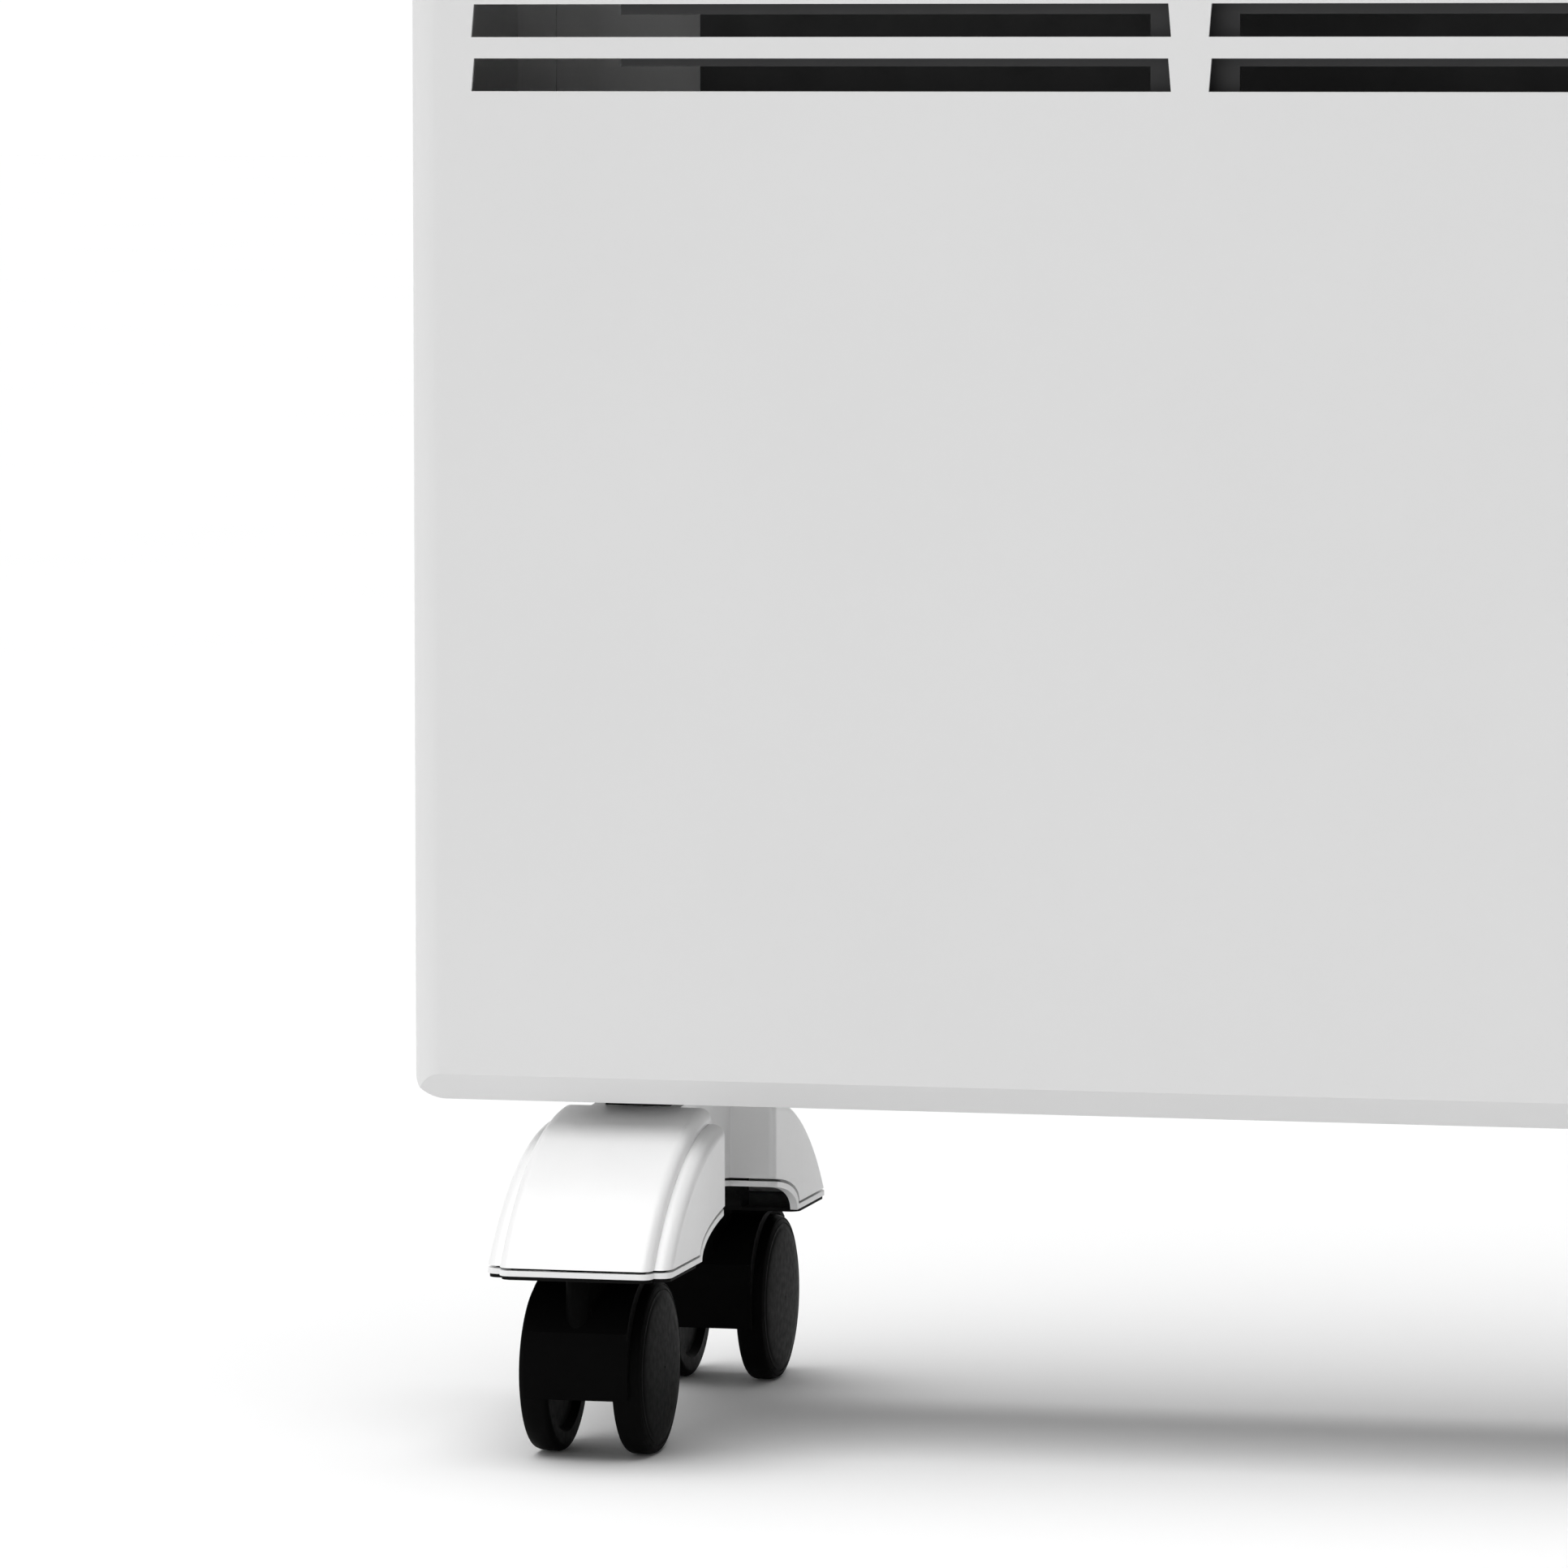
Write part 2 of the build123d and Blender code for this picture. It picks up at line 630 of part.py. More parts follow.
with BuildPart() as thermostat_body:
    with BuildSketch(side_plane(panel_floor - PANEL_WALL)):
        with Locations((0, KNOB_Z)):
            RectangleRounded(THERMOSTAT_WIDTH, THERMOSTAT_HEIGHT, 3)
    extrude(amount=SWITCH_BACK + PANEL_WALL - panel_floor)
    with BuildSketch(side_plane(panel_floor - PANEL_WALL)):
        with Locations((0, KNOB_Z)):
            Circle(SPINDLE_RADIUS + RUNNING_GAP)
    extrude(amount=-12, mode=Mode.SUBTRACT)
save(thermostat_body, "thermostat_body")

with BuildPart() as thermostat_spindle:
    with BuildSketch(side_plane(panel_floor - 13)):
        with Locations((0, KNOB_Z)):
            Circle(SPINDLE_RADIUS)
    extrude(amount=23)
save(thermostat_spindle, "thermostat_spindle")

with BuildPart() as thermostat_knob:
    # skirted knob with a raised grip bar across it
    with BuildSketch(side_plane(panel_floor + KNOB_GAP)):
        with Locations((0, KNOB_Z)):
            Circle(KNOB_RADIUS)
    extrude(amount=KNOB_SKIRT)
    with BuildSketch(side_plane(panel_floor + KNOB_GAP + KNOB_SKIRT)):
        with Locations((0, KNOB_Z)):
            Circle(KNOB_RADIUS - 2)
    extrude(amount=KNOB_CROWN, taper=20)
    with BuildSketch(side_plane(panel_floor + KNOB_SKIRT)):
        with Locations((0, KNOB_Z)):
            SlotOverall(KNOB_RADIUS * 1.7, GRIP_WIDTH, rotation=90)
    extrude(amount=GRIP_HEIGHT, taper=5)
    with BuildSketch(side_plane(panel_floor)):
        with Locations((0, KNOB_Z)):
            Circle(SPINDLE_RADIUS)
    extrude(amount=10, mode=Mode.SUBTRACT)
save(thermostat_knob, "thermostat_knob")

for name, z in SWITCH_Z.items():
    pivot = panel_floor - ROCKER_PIVOT_DEPTH
    with BuildPart() as switch_body:
        # snap-in switch housing: bezel, box and the rocker's pocket
        with BuildSketch(side_plane(panel_floor)):
            with Locations((0, z)):
                RectangleRounded(SWITCH_LENGTH + 3 * BEZEL, SWITCH_WIDTH + 3 * BEZEL, 2)
        extrude(amount=BEZEL)
        with BuildSketch(side_plane(panel_floor)):
            with Locations((0, z)):
                Rectangle(SWITCH_LENGTH, SWITCH_WIDTH)
        extrude(amount=-(panel_floor - SWITCH_BACK))
        with BuildSketch(side_plane(panel_floor + BEZEL)):
            with Locations((0, z)):
                Rectangle(SWITCH_LENGTH - 2 * BEZEL, SWITCH_WIDTH - 2 * BEZEL)
        extrude(amount=-14, mode=Mode.SUBTRACT)
        with BuildSketch(Plane(origin=(pivot, MID_Y, z - SWITCH_WIDTH / 2 - 1))):
            Circle(ROCKER_PIN + RUNNING_GAP)
        extrude(amount=SWITCH_WIDTH + 2, mode=Mode.SUBTRACT)
    save(switch_body, f"switch_{name}_body")

    rocker_width = SWITCH_WIDTH - ROCKER_CLEARANCE
    # local x points along +Y and local y along +X, tipped to the off position
    rocker_plane = Plane(
        origin=(pivot, MID_Y, z - rocker_width / 2), x_dir=(0, 1, 0), z_dir=(0, 0, -1)
    )
    with BuildPart() as rocker:
        with BuildSketch(rocker_plane.rotated((0, 0, ROCKER_TILT))):
            Polygon(
                (-ROCKER_HALF_LENGTH, ROCKER_BASE),
                (ROCKER_HALF_LENGTH, ROCKER_BASE),
                (ROCKER_HALF_LENGTH, ROCKER_TIP),
                (0, ROCKER_WAIST),
                (-ROCKER_HALF_LENGTH, ROCKER_TIP),
                align=None,
            )
        extrude(amount=-rocker_width)
        fillet(rocker.edges().filter_by(Axis.Z).sort_by(Axis.X)[-2:], 0.8)
        with BuildSketch(Plane(origin=(pivot, MID_Y, z - SWITCH_WIDTH / 2 + 0.2))):
            Circle(ROCKER_PIN)
        extrude(amount=SWITCH_WIDTH - 0.4)
    save(rocker, f"switch_{name}_rocker")

with BuildPart() as indicator_lamp:
    with BuildSketch(side_plane(panel_floor - 8)):
        with Locations((LAMP_DEPTH, LAMP_Z)):
            Circle(LAMP_RADIUS)
    extrude(amount=10)
    fillet(indicator_lamp.edges().group_by(Axis.X)[-1], 1.5)
save(indicator_lamp, "indicator_lamp")

# --------------------------------------------------------- tip-over switch

with BuildPart() as tip_switch_housing:
    with BuildSketch(plan_plane(BODY_BOTTOM + SHEET)):
        with Locations((TIP_X, 0)):
            Rectangle(TIP_WIDTH, TIP_LENGTH)
    extrude(amount=TIP_HEIGHT)
    with BuildSketch(plan_plane(BODY_BOTTOM + SHEET + TIP_WALL)):
        with Locations((TIP_X, 0)):
            Rectangle(TIP_WIDTH - 3 * TIP_WALL, TIP_LENGTH - 2 * TIP_WALL)
    extrude(amount=TIP_HEIGHT - 2 * TIP_WALL, mode=Mode.SUBTRACT)
    with BuildSketch(side_plane(TIP_X)):
        with Locations((0, TIP_PIVOT_Z)):
            Circle(TIP_PIN + RUNNING_GAP)
    extrude(amount=TIP_WIDTH / 2 + SHEET, both=True, mode=Mode.SUBTRACT)
save(tip_switch_housing, "tip_switch_housing")

with BuildPart() as tip_switch_pendulum:
    with BuildSketch(side_plane(TIP_X)):
        with Locations((0, TIP_PIVOT_Z)):
            Circle(2 * TIP_PIN)
        with Locations((0, TIP_PIVOT_Z - PENDULUM_LENGTH / 2)):
            Rectangle(2.5, PENDULUM_LENGTH)
        with Locations((0, TIP_PIVOT_Z - PENDULUM_LENGTH)):
            Circle(PENDULUM_BOB)
    extrude(amount=4, both=True)
    with BuildSketch(side_plane(TIP_X)):
        with Locations((0, TIP_PIVOT_Z)):
            Circle(TIP_PIN)
    extrude(amount=TIP_WIDTH / 2 - 0.5, both=True)
save(tip_switch_pendulum, "tip_switch_pendulum")

# ------------------------------------------------------------------ feet


def arched_profile(reach, shoulder, ridge, radius, base):
    """Side outline of a foot over its arch: a curved front and rear, a low ridge
    between them, and flats each side of the elliptical arch under it."""
    drop = FOOT_BASE - base
    with BuildLine() as outline:
        arch = EllipticalCenterArc(
            (0, base), ARCH_HALF_SPAN - drop, ARCH_RISE, start_angle=0, arc_size=180
        )
        Line(arch @ 1, (-reach, base))
        RadiusArc((-reach, base), (-SHOULDER_DEPTH, shoulder), radius)
        Polyline((-SHOULDER_DEPTH, shoulder), (0, ridge), (SHOULDER_DEPTH, shoulder))
        RadiusArc((SHOULDER_DEPTH, shoulder), (reach, base), radius)
        Line((reach, base), arch @ 0)
    return outline.line


def upper_edges(block, centre_x, width):
    """The curved and ridge edges along both sides of a foot block, not its lower ones."""
    chosen = []
    for edge in block.edges():
        size = edge.bounding_box().size
        at_side = abs(abs(edge.center().X - centre_x) - width / 2) < 0.1
        curved = size.Y > 20 and size.Z > 20
        along_ridge = edge.center().Z > FOOT_BASE + ARCH_RISE + 5 and size.Y > 20
        if at_side and (curved or along_ridge):
            chosen.append(edge)
    return chosen


def arched_block(centre_x, width, reach, shoulder, ridge, radius, base):
    with BuildPart() as block:
        with BuildSketch(side_plane(centre_x)):
            with BuildLine():
                add(arched_profile(reach, shoulder, ridge, radius, base))
            make_face()
        extrude(amount=width / 2, both=True)
    return block.part


def cavity_block(centre_x, width, reach, shoulder, ridge, radius):
    """Room inside a foot: the outline moved in by the wall, open downwards."""
    floor = FOOT_BASE - 6
    with BuildPart() as block:
        with BuildSketch(side_plane(centre_x)):
            with BuildLine():
                Line((-reach, floor), (-reach, FOOT_BASE))
                RadiusArc((-reach, FOOT_BASE), (-SHOULDER_DEPTH, shoulder), radius)
                Polyline((-SHOULDER_DEPTH, shoulder), (0, ridge), (SHOULDER_DEPTH, shoulder))
                RadiusArc((SHOULDER_DEPTH, shoulder), (reach, FOOT_BASE), radius)
                Polyline((reach, FOOT_BASE), (reach, floor), (-reach, floor))
            make_face()
        extrude(amount=width / 2, both=True)
    return block.part


def keep_cheeks(centre_x, half_waist):
    """The two stretches of a foot that are as wide as its cheeks."""
    with BuildPart() as ends:
        for end in (-1, 1):
            with BuildSketch(plan_plane(0)):
                with Locations((centre_x, end * (half_waist + BAND_REACH) / 2)):
                    Rectangle(CHEEK_WIDTH + 2, BAND_REACH - half_waist)
            extrude(amount=BODY_BOTTOM)
    return ends.part


def foot_solid(centre_x):
    """Outside of a foot: the raised band, the two pairs of cheeks beside it and the
    narrow waist between them."""
    band = arched_block(
        centre_x, BAND_WIDTH, BAND_REACH, BAND_SHOULDER, BAND_RIDGE, BAND_ARC_RADIUS, FOOT_BASE
    )
    cheeks = arched_block(
        centre_x, CHEEK_WIDTH, CHEEK_REACH, CHEEK_SHOULDER, CHEEK_SHOULDER,
        CHEEK_ARC_RADIUS, FOOT_BASE,
    )
    waist = arched_block(
        centre_x, 2 * WAIST_HALF_WIDTH, BAND_REACH, BAND_SHOULDER, BAND_RIDGE,
        BAND_ARC_RADIUS, FOOT_BASE,
    )
    with BuildPart() as rounded_band:
        add(band)
        fillet(upper_edges(rounded_band, centre_x, BAND_WIDTH), BAND_EDGE)
        add(keep_cheeks(centre_x, WAIST_DEPTH), mode=Mode.INTERSECT)
        add(waist)
    with BuildPart() as outside:
        add(cheeks)
        add(keep_cheeks(centre_x, WAIST_DEPTH), mode=Mode.INTERSECT)
        fillet(upper_edges(outside, centre_x, CHEEK_WIDTH), CHEEK_EDGE)
        waist_edges = [
            edge
            for edge in outside.edges().filter_by(Axis.Z)
            if abs(abs(edge.center().X - centre_x) - CHEEK_WIDTH / 2) < 0.1
        ]
        fillet(waist_edges, WAIST_EDGE)
        add(rounded_band.part)
    return outside.part


def foot_cavity(centre_x):
    wall = FOOT_WALL
    with BuildPart() as inside:
        add(cavity_block(
            centre_x, CHEEK_WIDTH - 2 * wall, CHEEK_REACH - wall, CHEEK_SHOULDER - wall,
            CHEEK_SHOULDER - wall, CHEEK_ARC_RADIUS - wall,
        ))
        add(cavity_block(
            centre_x, BAND_WIDTH - 2 * wall, BAND_REACH - wall, BAND_SHOULDER - wall,
            BAND_RIDGE - wall, BAND_ARC_RADIUS - wall,
        ))
        add(keep_cheeks(centre_x, WAIST_DEPTH + wall), mode=Mode.INTERSECT)
        add(cavity_block(
            centre_x, 2 * (WAIST_HALF_WIDTH - wall), BAND_REACH - wall, BAND_SHOULDER - wall,
            BAND_RIDGE - wall, BAND_ARC_RADIUS - wall,
        ))
    return inside.part


for side, name in ((-1, "left"), (1, "right")):
    foot_x = side * FOOT_X
    castor_x = side * CASTOR_X
    cavity = foot_cavity(foot_x)

    with BuildPart() as foot_cover:
        add(foot_solid(foot_x))
        add(cavity, mode=Mode.SUBTRACT)
        with BuildSketch(plan_plane(BODY_BOTTOM)):
            with Locations((foot_x, 0)):
                Rectangle(2 * (PAD_HALF_WIDTH + PAD_GAP), 2 * (PAD_HALF_DEPTH + PAD_GAP))
        extrude(amount=-20, mode=Mode.SUBTRACT)
    save(foot_cover, f"foot_cover_{name}")

    with BuildPart() as foot_trim:
        # thin lip that follows the cover's lower edge across a narrow groove
        with BuildSketch(plan_plane(PLATE_TOP)):
            with Locations((foot_x, 0)):
                Rectangle(2 * WAIST_HALF_WIDTH, 2 * WAIST_DEPTH + 2 * BAND_EDGE)
            for end in (-1, 1):
                with Locations((foot_x, end * (WAIST_DEPTH + BAND_REACH) / 2)):
                    RectangleRounded(BAND_WIDTH, BAND_REACH - WAIST_DEPTH, BAND_EDGE)
                with Locations((foot_x, end * (WAIST_DEPTH + CHEEK_REACH) / 2)):
                    RectangleRounded(CHEEK_WIDTH, CHEEK_REACH - WAIST_DEPTH, CHEEK_EDGE)
        extrude(amount=30)
        with BuildSketch(side_plane(foot_x)):
            with BuildLine():
                lower = FOOT_BASE - TRIM_GAP - TRIM_HEIGHT
                upper = FOOT_BASE - TRIM_GAP
                low_arch = EllipticalCenterArc(
                    (0, lower), ARCH_HALF_SPAN - TRIM_GAP - TRIM_HEIGHT, ARCH_RISE,
                    start_angle=0, arc_size=180,
                )
                high_arch = EllipticalCenterArc(
                    (0, upper), ARCH_HALF_SPAN - TRIM_GAP, ARCH_RISE, start_angle=0, arc_size=180
                )
                for end, index in ((1, 0), (-1, 1)):
                    Polyline(
                        low_arch @ index, (end * 96, lower), (end * 96, upper), high_arch @ index
                    )
            make_face()
        extrude(amount=CHEEK_WIDTH, both=True, mode=Mode.INTERSECT)
        add(cavity, mode=Mode.SUBTRACT)
    save(foot_trim, f"foot_trim_{name}")

    with BuildPart() as foot_frame:
        # end plates under the trim, socket blocks, arched spine and the pad under the body
        for end in (-1, 1):
            with BuildSketch(plan_plane(PLATE_BOTTOM)):
                with Locations((foot_x, end * (ARCH_HALF_SPAN + BAND_REACH) / 2)):
                    RectangleRounded(
                        BAND_WIDTH - 2 * PLATE_MARGIN,
                        BAND_REACH - ARCH_HALF_SPAN - 2 * PLATE_MARGIN,
                        BAND_EDGE,
                    )
                with Locations((foot_x, end * (ARCH_HALF_SPAN + CHEEK_REACH) / 2)):
                    RectangleRounded(
                        CHEEK_WIDTH - 2 * PLATE_MARGIN,
                        CHEEK_REACH - ARCH_HALF_SPAN - 2 * PLATE_MARGIN,
                        BAND_EDGE,
                    )
            extrude(amount=PLATE_TOP - PLATE_BOTTOM)
            with BuildSketch(plan_plane(PLATE_BOTTOM)):
                with Locations((castor_x, end * KINGPIN_DEPTH)):
                    Rectangle(SOCKET_BLOCK_WIDTH, SOCKET_BLOCK_DEPTH)
            extrude(amount=SOCKET_TOP - PLATE_BOTTOM)
        with BuildSketch(side_plane(foot_x)):
            with BuildLine():
                spine_arch = EllipticalCenterArc(
                    (0, PLATE_TOP), ARCH_HALF_SPAN - SPINE_ARCH_INSET, ARCH_RISE,
                    start_angle=0, arc_size=180,
                )
                Polyline(
                    spine_arch @ 1, (-64, PLATE_TOP), (-64, 64), (-28, 76),
                    (28, 76), (64, 64), (64, PLATE_TOP), spine_arch @ 0,
                )
            make_face()
        extrude(amount=SPINE_HALF_WIDTH, both=True)
        with BuildSketch(plan_plane(PAD_BOTTOM)):
            with Locations((foot_x, 0)):
                Rectangle(2 * PAD_HALF_WIDTH, 2 * PAD_HALF_DEPTH)
        extrude(amount=BODY_BOTTOM - PAD_BOTTOM)
        # castor socket bores, then the screws' clearance holes and counterbores
        with BuildSketch(plan_plane(PLATE_BOTTOM)):
            with Locations((castor_x, -KINGPIN_DEPTH), (castor_x, KINGPIN_DEPTH)):
                Circle(SOCKET_RADIUS)
        extrude(amount=SOCKET_BORE_DEPTH, mode=Mode.SUBTRACT)
        with BuildSketch(plan_plane(PLATE_BOTTOM)):
            with Locations((foot_x, -FOOT_SCREW_DEPTH), (foot_x, FOOT_SCREW_DEPTH)):
                Circle(FOOT_SCREW_HOLE)
        extrude(amount=BODY_BOTTOM - PLATE_BOTTOM, mode=Mode.SUBTRACT)
        with BuildSketch(plan_plane(PLATE_BOTTOM)):
            with Locations((foot_x, -FOOT_SCREW_DEPTH), (foot_x, FOOT_SCREW_DEPTH)):
                Circle(COUNTERBORE_RADIUS)
        extrude(amount=FOOT_SCREW_SEAT - PLATE_BOTTOM, mode=Mode.SUBTRACT)
    save(foot_frame, f"foot_frame_{name}")

    with BuildPart() as castor_sockets:
        with BuildSketch(plan_plane(PLATE_BOTTOM)):
            with Locations((castor_x, -KINGPIN_DEPTH), (castor_x, KINGPIN_DEPTH)):
                Circle(SOCKET_RADIUS)
                Circle(KINGPIN_RADIUS + RUNNING_GAP, mode=Mode.SUBTRACT)
        extrude(amount=SOCKET_TOP - PLATE_BOTTOM)
    save(castor_sockets, f"castor_sockets_{name}")

with BuildPart() as foot_screws:
    with BuildSketch(plan_plane(FOOT_SCREW_SEAT)):
        with Locations(*foot_screw_places):
            Circle(FOOT_SCREW_HEAD)
    extrude(amount=-FOOT_SCREW_HEAD_HEIGHT)
    # hexagon socket
    with BuildSketch(plan_plane(FOOT_SCREW_SEAT - FOOT_SCREW_HEAD_HEIGHT)):
        with Locations(*foot_screw_places):
            RegularPolygon(FOOT_SCREW_HEAD / 2, 6)
    extrude(amount=FOOT_SCREW_HEAD_HEIGHT / 2, mode=Mode.SUBTRACT)
    with BuildSketch(plan_plane(FOOT_SCREW_SEAT)):
        with Locations(*foot_screw_places):
            Circle(FOOT_SCREW_RADIUS)
    extrude(amount=BODY_BOTTOM + 2 * NUT_HEIGHT - FOOT_SCREW_SEAT)
save(foot_screws, "foot_screws")

with BuildPart() as foot_nuts:
    with BuildSketch(plan_plane(BODY_BOTTOM + SHEET)):
        with Locations(*foot_screw_places):
            RegularPolygon(FOOT_SCREW_HEAD, 6)
            Circle(FOOT_SCREW_RADIUS, mode=Mode.SUBTRACT)
    extrude(amount=NUT_HEIGHT)
save(foot_nuts, "foot_nuts")

# --------------------------------------------------------------- castors


def wheel_block(side):
    """A wheel on an axle along X at the origin: recessed inner face, rounded tread,
    a narrow seam and the domed hub cap, on the given side of the castor's middle."""
    bore = AXLE_RADIUS + RUNNING_GAP
    with BuildPart() as block:
        with BuildSketch(Plane(origin=(0, 0, 0), x_dir=(side, 0, 0), z_dir=(0, -side, 0))):
            with BuildLine():
                Polyline(
                    (WHEEL_OUTER - 2, 0),
                    (WHEEL_OUTER - 2, bore),
                    (WHEEL_INNER, bore),
                    (WHEEL_INNER, 6),
                    (WHEEL_INNER + 2, 7),
                    (WHEEL_INNER + 2, 17),
                    (WHEEL_INNER, 18),
                    (WHEEL_INNER, WHEEL_RADIUS - 1.8),
                )
                TangentArc(
                    (WHEEL_INNER + 1.8, WHEEL_RADIUS),
                    (WHEEL_INNER, WHEEL_RADIUS - 1.8),
                    tangent=(-1, 0),
                )
                Line((WHEEL_INNER + 1.8, WHEEL_RADIUS), (WHEEL_OUTER - 3, WHEEL_RADIUS))
                TangentArc(
                    (WHEEL_OUTER - 3, WHEEL_RADIUS),
                    (WHEEL_OUTER, HUB_CAP_RADIUS + SEAM),
                    tangent=(1, 0),
                )
                Polyline(
                    (WHEEL_OUTER, HUB_CAP_RADIUS + SEAM),
                    (WHEEL_OUTER - SEAM, HUB_CAP_RADIUS + SEAM),
                    (WHEEL_OUTER - SEAM, HUB_CAP_RADIUS),
                    (WHEEL_OUTER, HUB_CAP_RADIUS),
                )
                TangentArc((HUB_CAP_APEX, 0), (WHEEL_OUTER, HUB_CAP_RADIUS), tangent=(0, 1))
                Line((HUB_CAP_APEX, 0), (WHEEL_OUTER - 2, 0))
            make_face()
        revolve(axis=Axis.X)
    return block.part


for side, side_name in ((-1, "left"), (1, "right")):
    for end, end_name in ((-1, "front"), (1, "rear")):
        castor_x = side * CASTOR_X
        axle_depth = end * KINGPIN_DEPTH + TRAIL
        kingpin = (castor_x, end * KINGPIN_DEPTH)
        castor = f"castor_{end_name}_{side_name}"
        castor_side = Plane(
            origin=(castor_x, MID_Y + axle_depth, AXLE_Z), x_dir=(0, 1, 0), z_dir=(1, 0, 0)
        )

        with BuildPart() as hood:
            # web between the wheels and the mudguard over both of them
            with BuildSketch(castor_side):
                with BuildLine():
                    Polyline(
                        (HOOD_REAR, APRON_BOTTOM), (APRON_FRONT, APRON_BOTTOM), (APRON_FRONT, CREASE)
                    )
                    ThreePointArc((APRON_FRONT, CREASE), HOOD_SLOPE_MIDDLE, HOOD_SLOPE_TOP)
                    RadiusArc(HOOD_SLOPE_TOP, HOOD_REAR_TOP, HOOD_OUTER_RADIUS)
                    Polyline(HOOD_REAR_TOP, (HOOD_REAR, HOOD_REAR_HEIGHT), (HOOD_REAR, APRON_BOTTOM))
                make_face()
            extrude(amount=HOOD_HALF_WIDTH, both=True)
            for wheel_side in (-1, 1):
                well = castor_side.offset(wheel_side * WEB_HALF_WIDTH)
                with BuildSketch(well):
                    Circle(HOOD_INNER_RADIUS)
                    with Locations((0, -HOOD_INNER_RADIUS / 2)):
                        Rectangle(2 * HOOD_INNER_RADIUS, HOOD_INNER_RADIUS)
                extrude(amount=wheel_side * HOOD_HALF_WIDTH, mode=Mode.SUBTRACT)
            # kingpin boss with the rib that runs down the front
            with BuildSketch(plan_plane(AXLE_Z + BOSS_RISE)):
                with Locations(kingpin):
                    Circle(SOCKET_RADIUS)
                with Locations((castor_x, axle_depth + APRON_FRONT + RIB_PROUD + RIB_RADIUS)):
                    Circle(RIB_RADIUS)
                make_hull()
            extrude(amount=HOOD_TOP - AXLE_Z - BOSS_RISE)
            with BuildSketch(castor_side):
                Circle(AXLE_RADIUS)
            extrude(amount=WEB_HALF_WIDTH + 1, both=True, mode=Mode.SUBTRACT)
            with BuildSketch(plan_plane(HOOD_TOP)):
                with Locations(kingpin):
                    Circle(KINGPIN_RADIUS)
            extrude(amount=-KINGPIN_SEAT, mode=Mode.SUBTRACT)
        save(hood, f"{castor}_hood")

        with BuildPart() as kingpin_pin:
            with BuildSketch(plan_plane(HOOD_TOP - KINGPIN_SEAT)):
                with Locations(kingpin):
                    Circle(KINGPIN_RADIUS)
            extrude(amount=SOCKET_TOP - 1.5 - HOOD_TOP + KINGPIN_SEAT)
            chamfer(kingpin_pin.edges().group_by(Axis.Z)[-1], 0.6)
        save(kingpin_pin, f"{castor}_kingpin")

        with BuildPart() as axle:
            with BuildSketch(castor_side):
                Circle(AXLE_RADIUS)
            extrude(amount=WHEEL_OUTER - 2.4, both=True)
        save(axle, f"{castor}_axle")

        for wheel_side, wheel_name in ((-1, "left"), (1, "right")):
            with BuildPart() as wheel:
                with Locations((castor_x, MID_Y + axle_depth, AXLE_Z)):
                    add(wheel_block(wheel_side))
            save(wheel, f"{castor}_wheel_{wheel_name}")
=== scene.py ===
import json
import math

import bmesh
import bpy
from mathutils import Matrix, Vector
from mathutils.bvhtree import BVHTree


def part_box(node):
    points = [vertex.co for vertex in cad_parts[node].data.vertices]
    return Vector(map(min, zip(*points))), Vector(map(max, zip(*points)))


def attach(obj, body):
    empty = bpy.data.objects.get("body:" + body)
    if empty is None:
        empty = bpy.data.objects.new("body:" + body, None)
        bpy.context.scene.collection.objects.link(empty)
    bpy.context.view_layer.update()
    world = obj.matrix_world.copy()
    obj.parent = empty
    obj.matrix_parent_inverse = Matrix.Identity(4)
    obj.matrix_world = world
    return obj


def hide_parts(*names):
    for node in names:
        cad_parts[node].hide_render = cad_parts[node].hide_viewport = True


# Panel convector heater: looks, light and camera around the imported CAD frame.
# Metres, in the CAD frame: +Z up, the front faces -Y, the floor is z = 0.

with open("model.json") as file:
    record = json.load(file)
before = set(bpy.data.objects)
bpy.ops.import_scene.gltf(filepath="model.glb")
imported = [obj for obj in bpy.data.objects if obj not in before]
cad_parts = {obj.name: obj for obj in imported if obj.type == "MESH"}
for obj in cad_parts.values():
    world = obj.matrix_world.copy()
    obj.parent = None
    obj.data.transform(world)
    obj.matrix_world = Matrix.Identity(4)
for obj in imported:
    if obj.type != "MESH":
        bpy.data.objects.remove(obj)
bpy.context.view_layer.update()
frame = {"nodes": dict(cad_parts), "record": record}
NODES = frame["nodes"]
MM = 0.001

# Camera: to the right of the left foot, turned towards it and a little down
CAMERA_PLACE = (0.2405, -2.339, 0.3748)
CAMERA_TURN = 12.79
CAMERA_DIP = 3.70
CAMERA_LENS = 202.2
CAMERA_SHIFT = (-0.08, -0.10)

# Light
SKY_HORIZON = 1.02
SKY_ZENITH = 0.54
SKY_DARK_SIDE = 0.12
SKY_LEFT_SIDE = 0.72
KEY_STRENGTH = 2.25
KEY_SPREAD = 64.0
KEY_FROM = (-0.1, -0.2, 1.0)
FLOOR_SIZE = 60.0

# Small radii that the pressed and moulded edges get
SHEET_EDGE = 0.28 * MM
MOULDED_EDGE = 0.35 * MM
FINE_EDGE = 0.15 * MM

# Castor wheels: fractions are of the wheel's radius, or of its width where they say so
WHEEL_STEPS = 128
WHEEL_BORE = 0.11
HUB_RING_INNER = 0.26
HUB_RING_OUTER = 0.30
RECESS_EDGE = 0.72
RIM_EDGE = 0.78
CAP_EDGE = 0.84
SEAM_EDGES = (0.90, 0.955)
DOME_OF_WIDTH = 0.16
STEP_OF_DOME = 0.28
CAP_OF_DOME = 0.72
RECESS_DEPTH = 2 * MM
TREAD_CORNER = 1.8 * MM
TREAD_ROLL = 3.6 * MM
SEAM_WIDTH = 0.22 * MM
SEAM_DEPTH = 0.25 * MM
CAP_WALL = 2.2 * MM
CAP_PINHOLE = 0.2 * MM

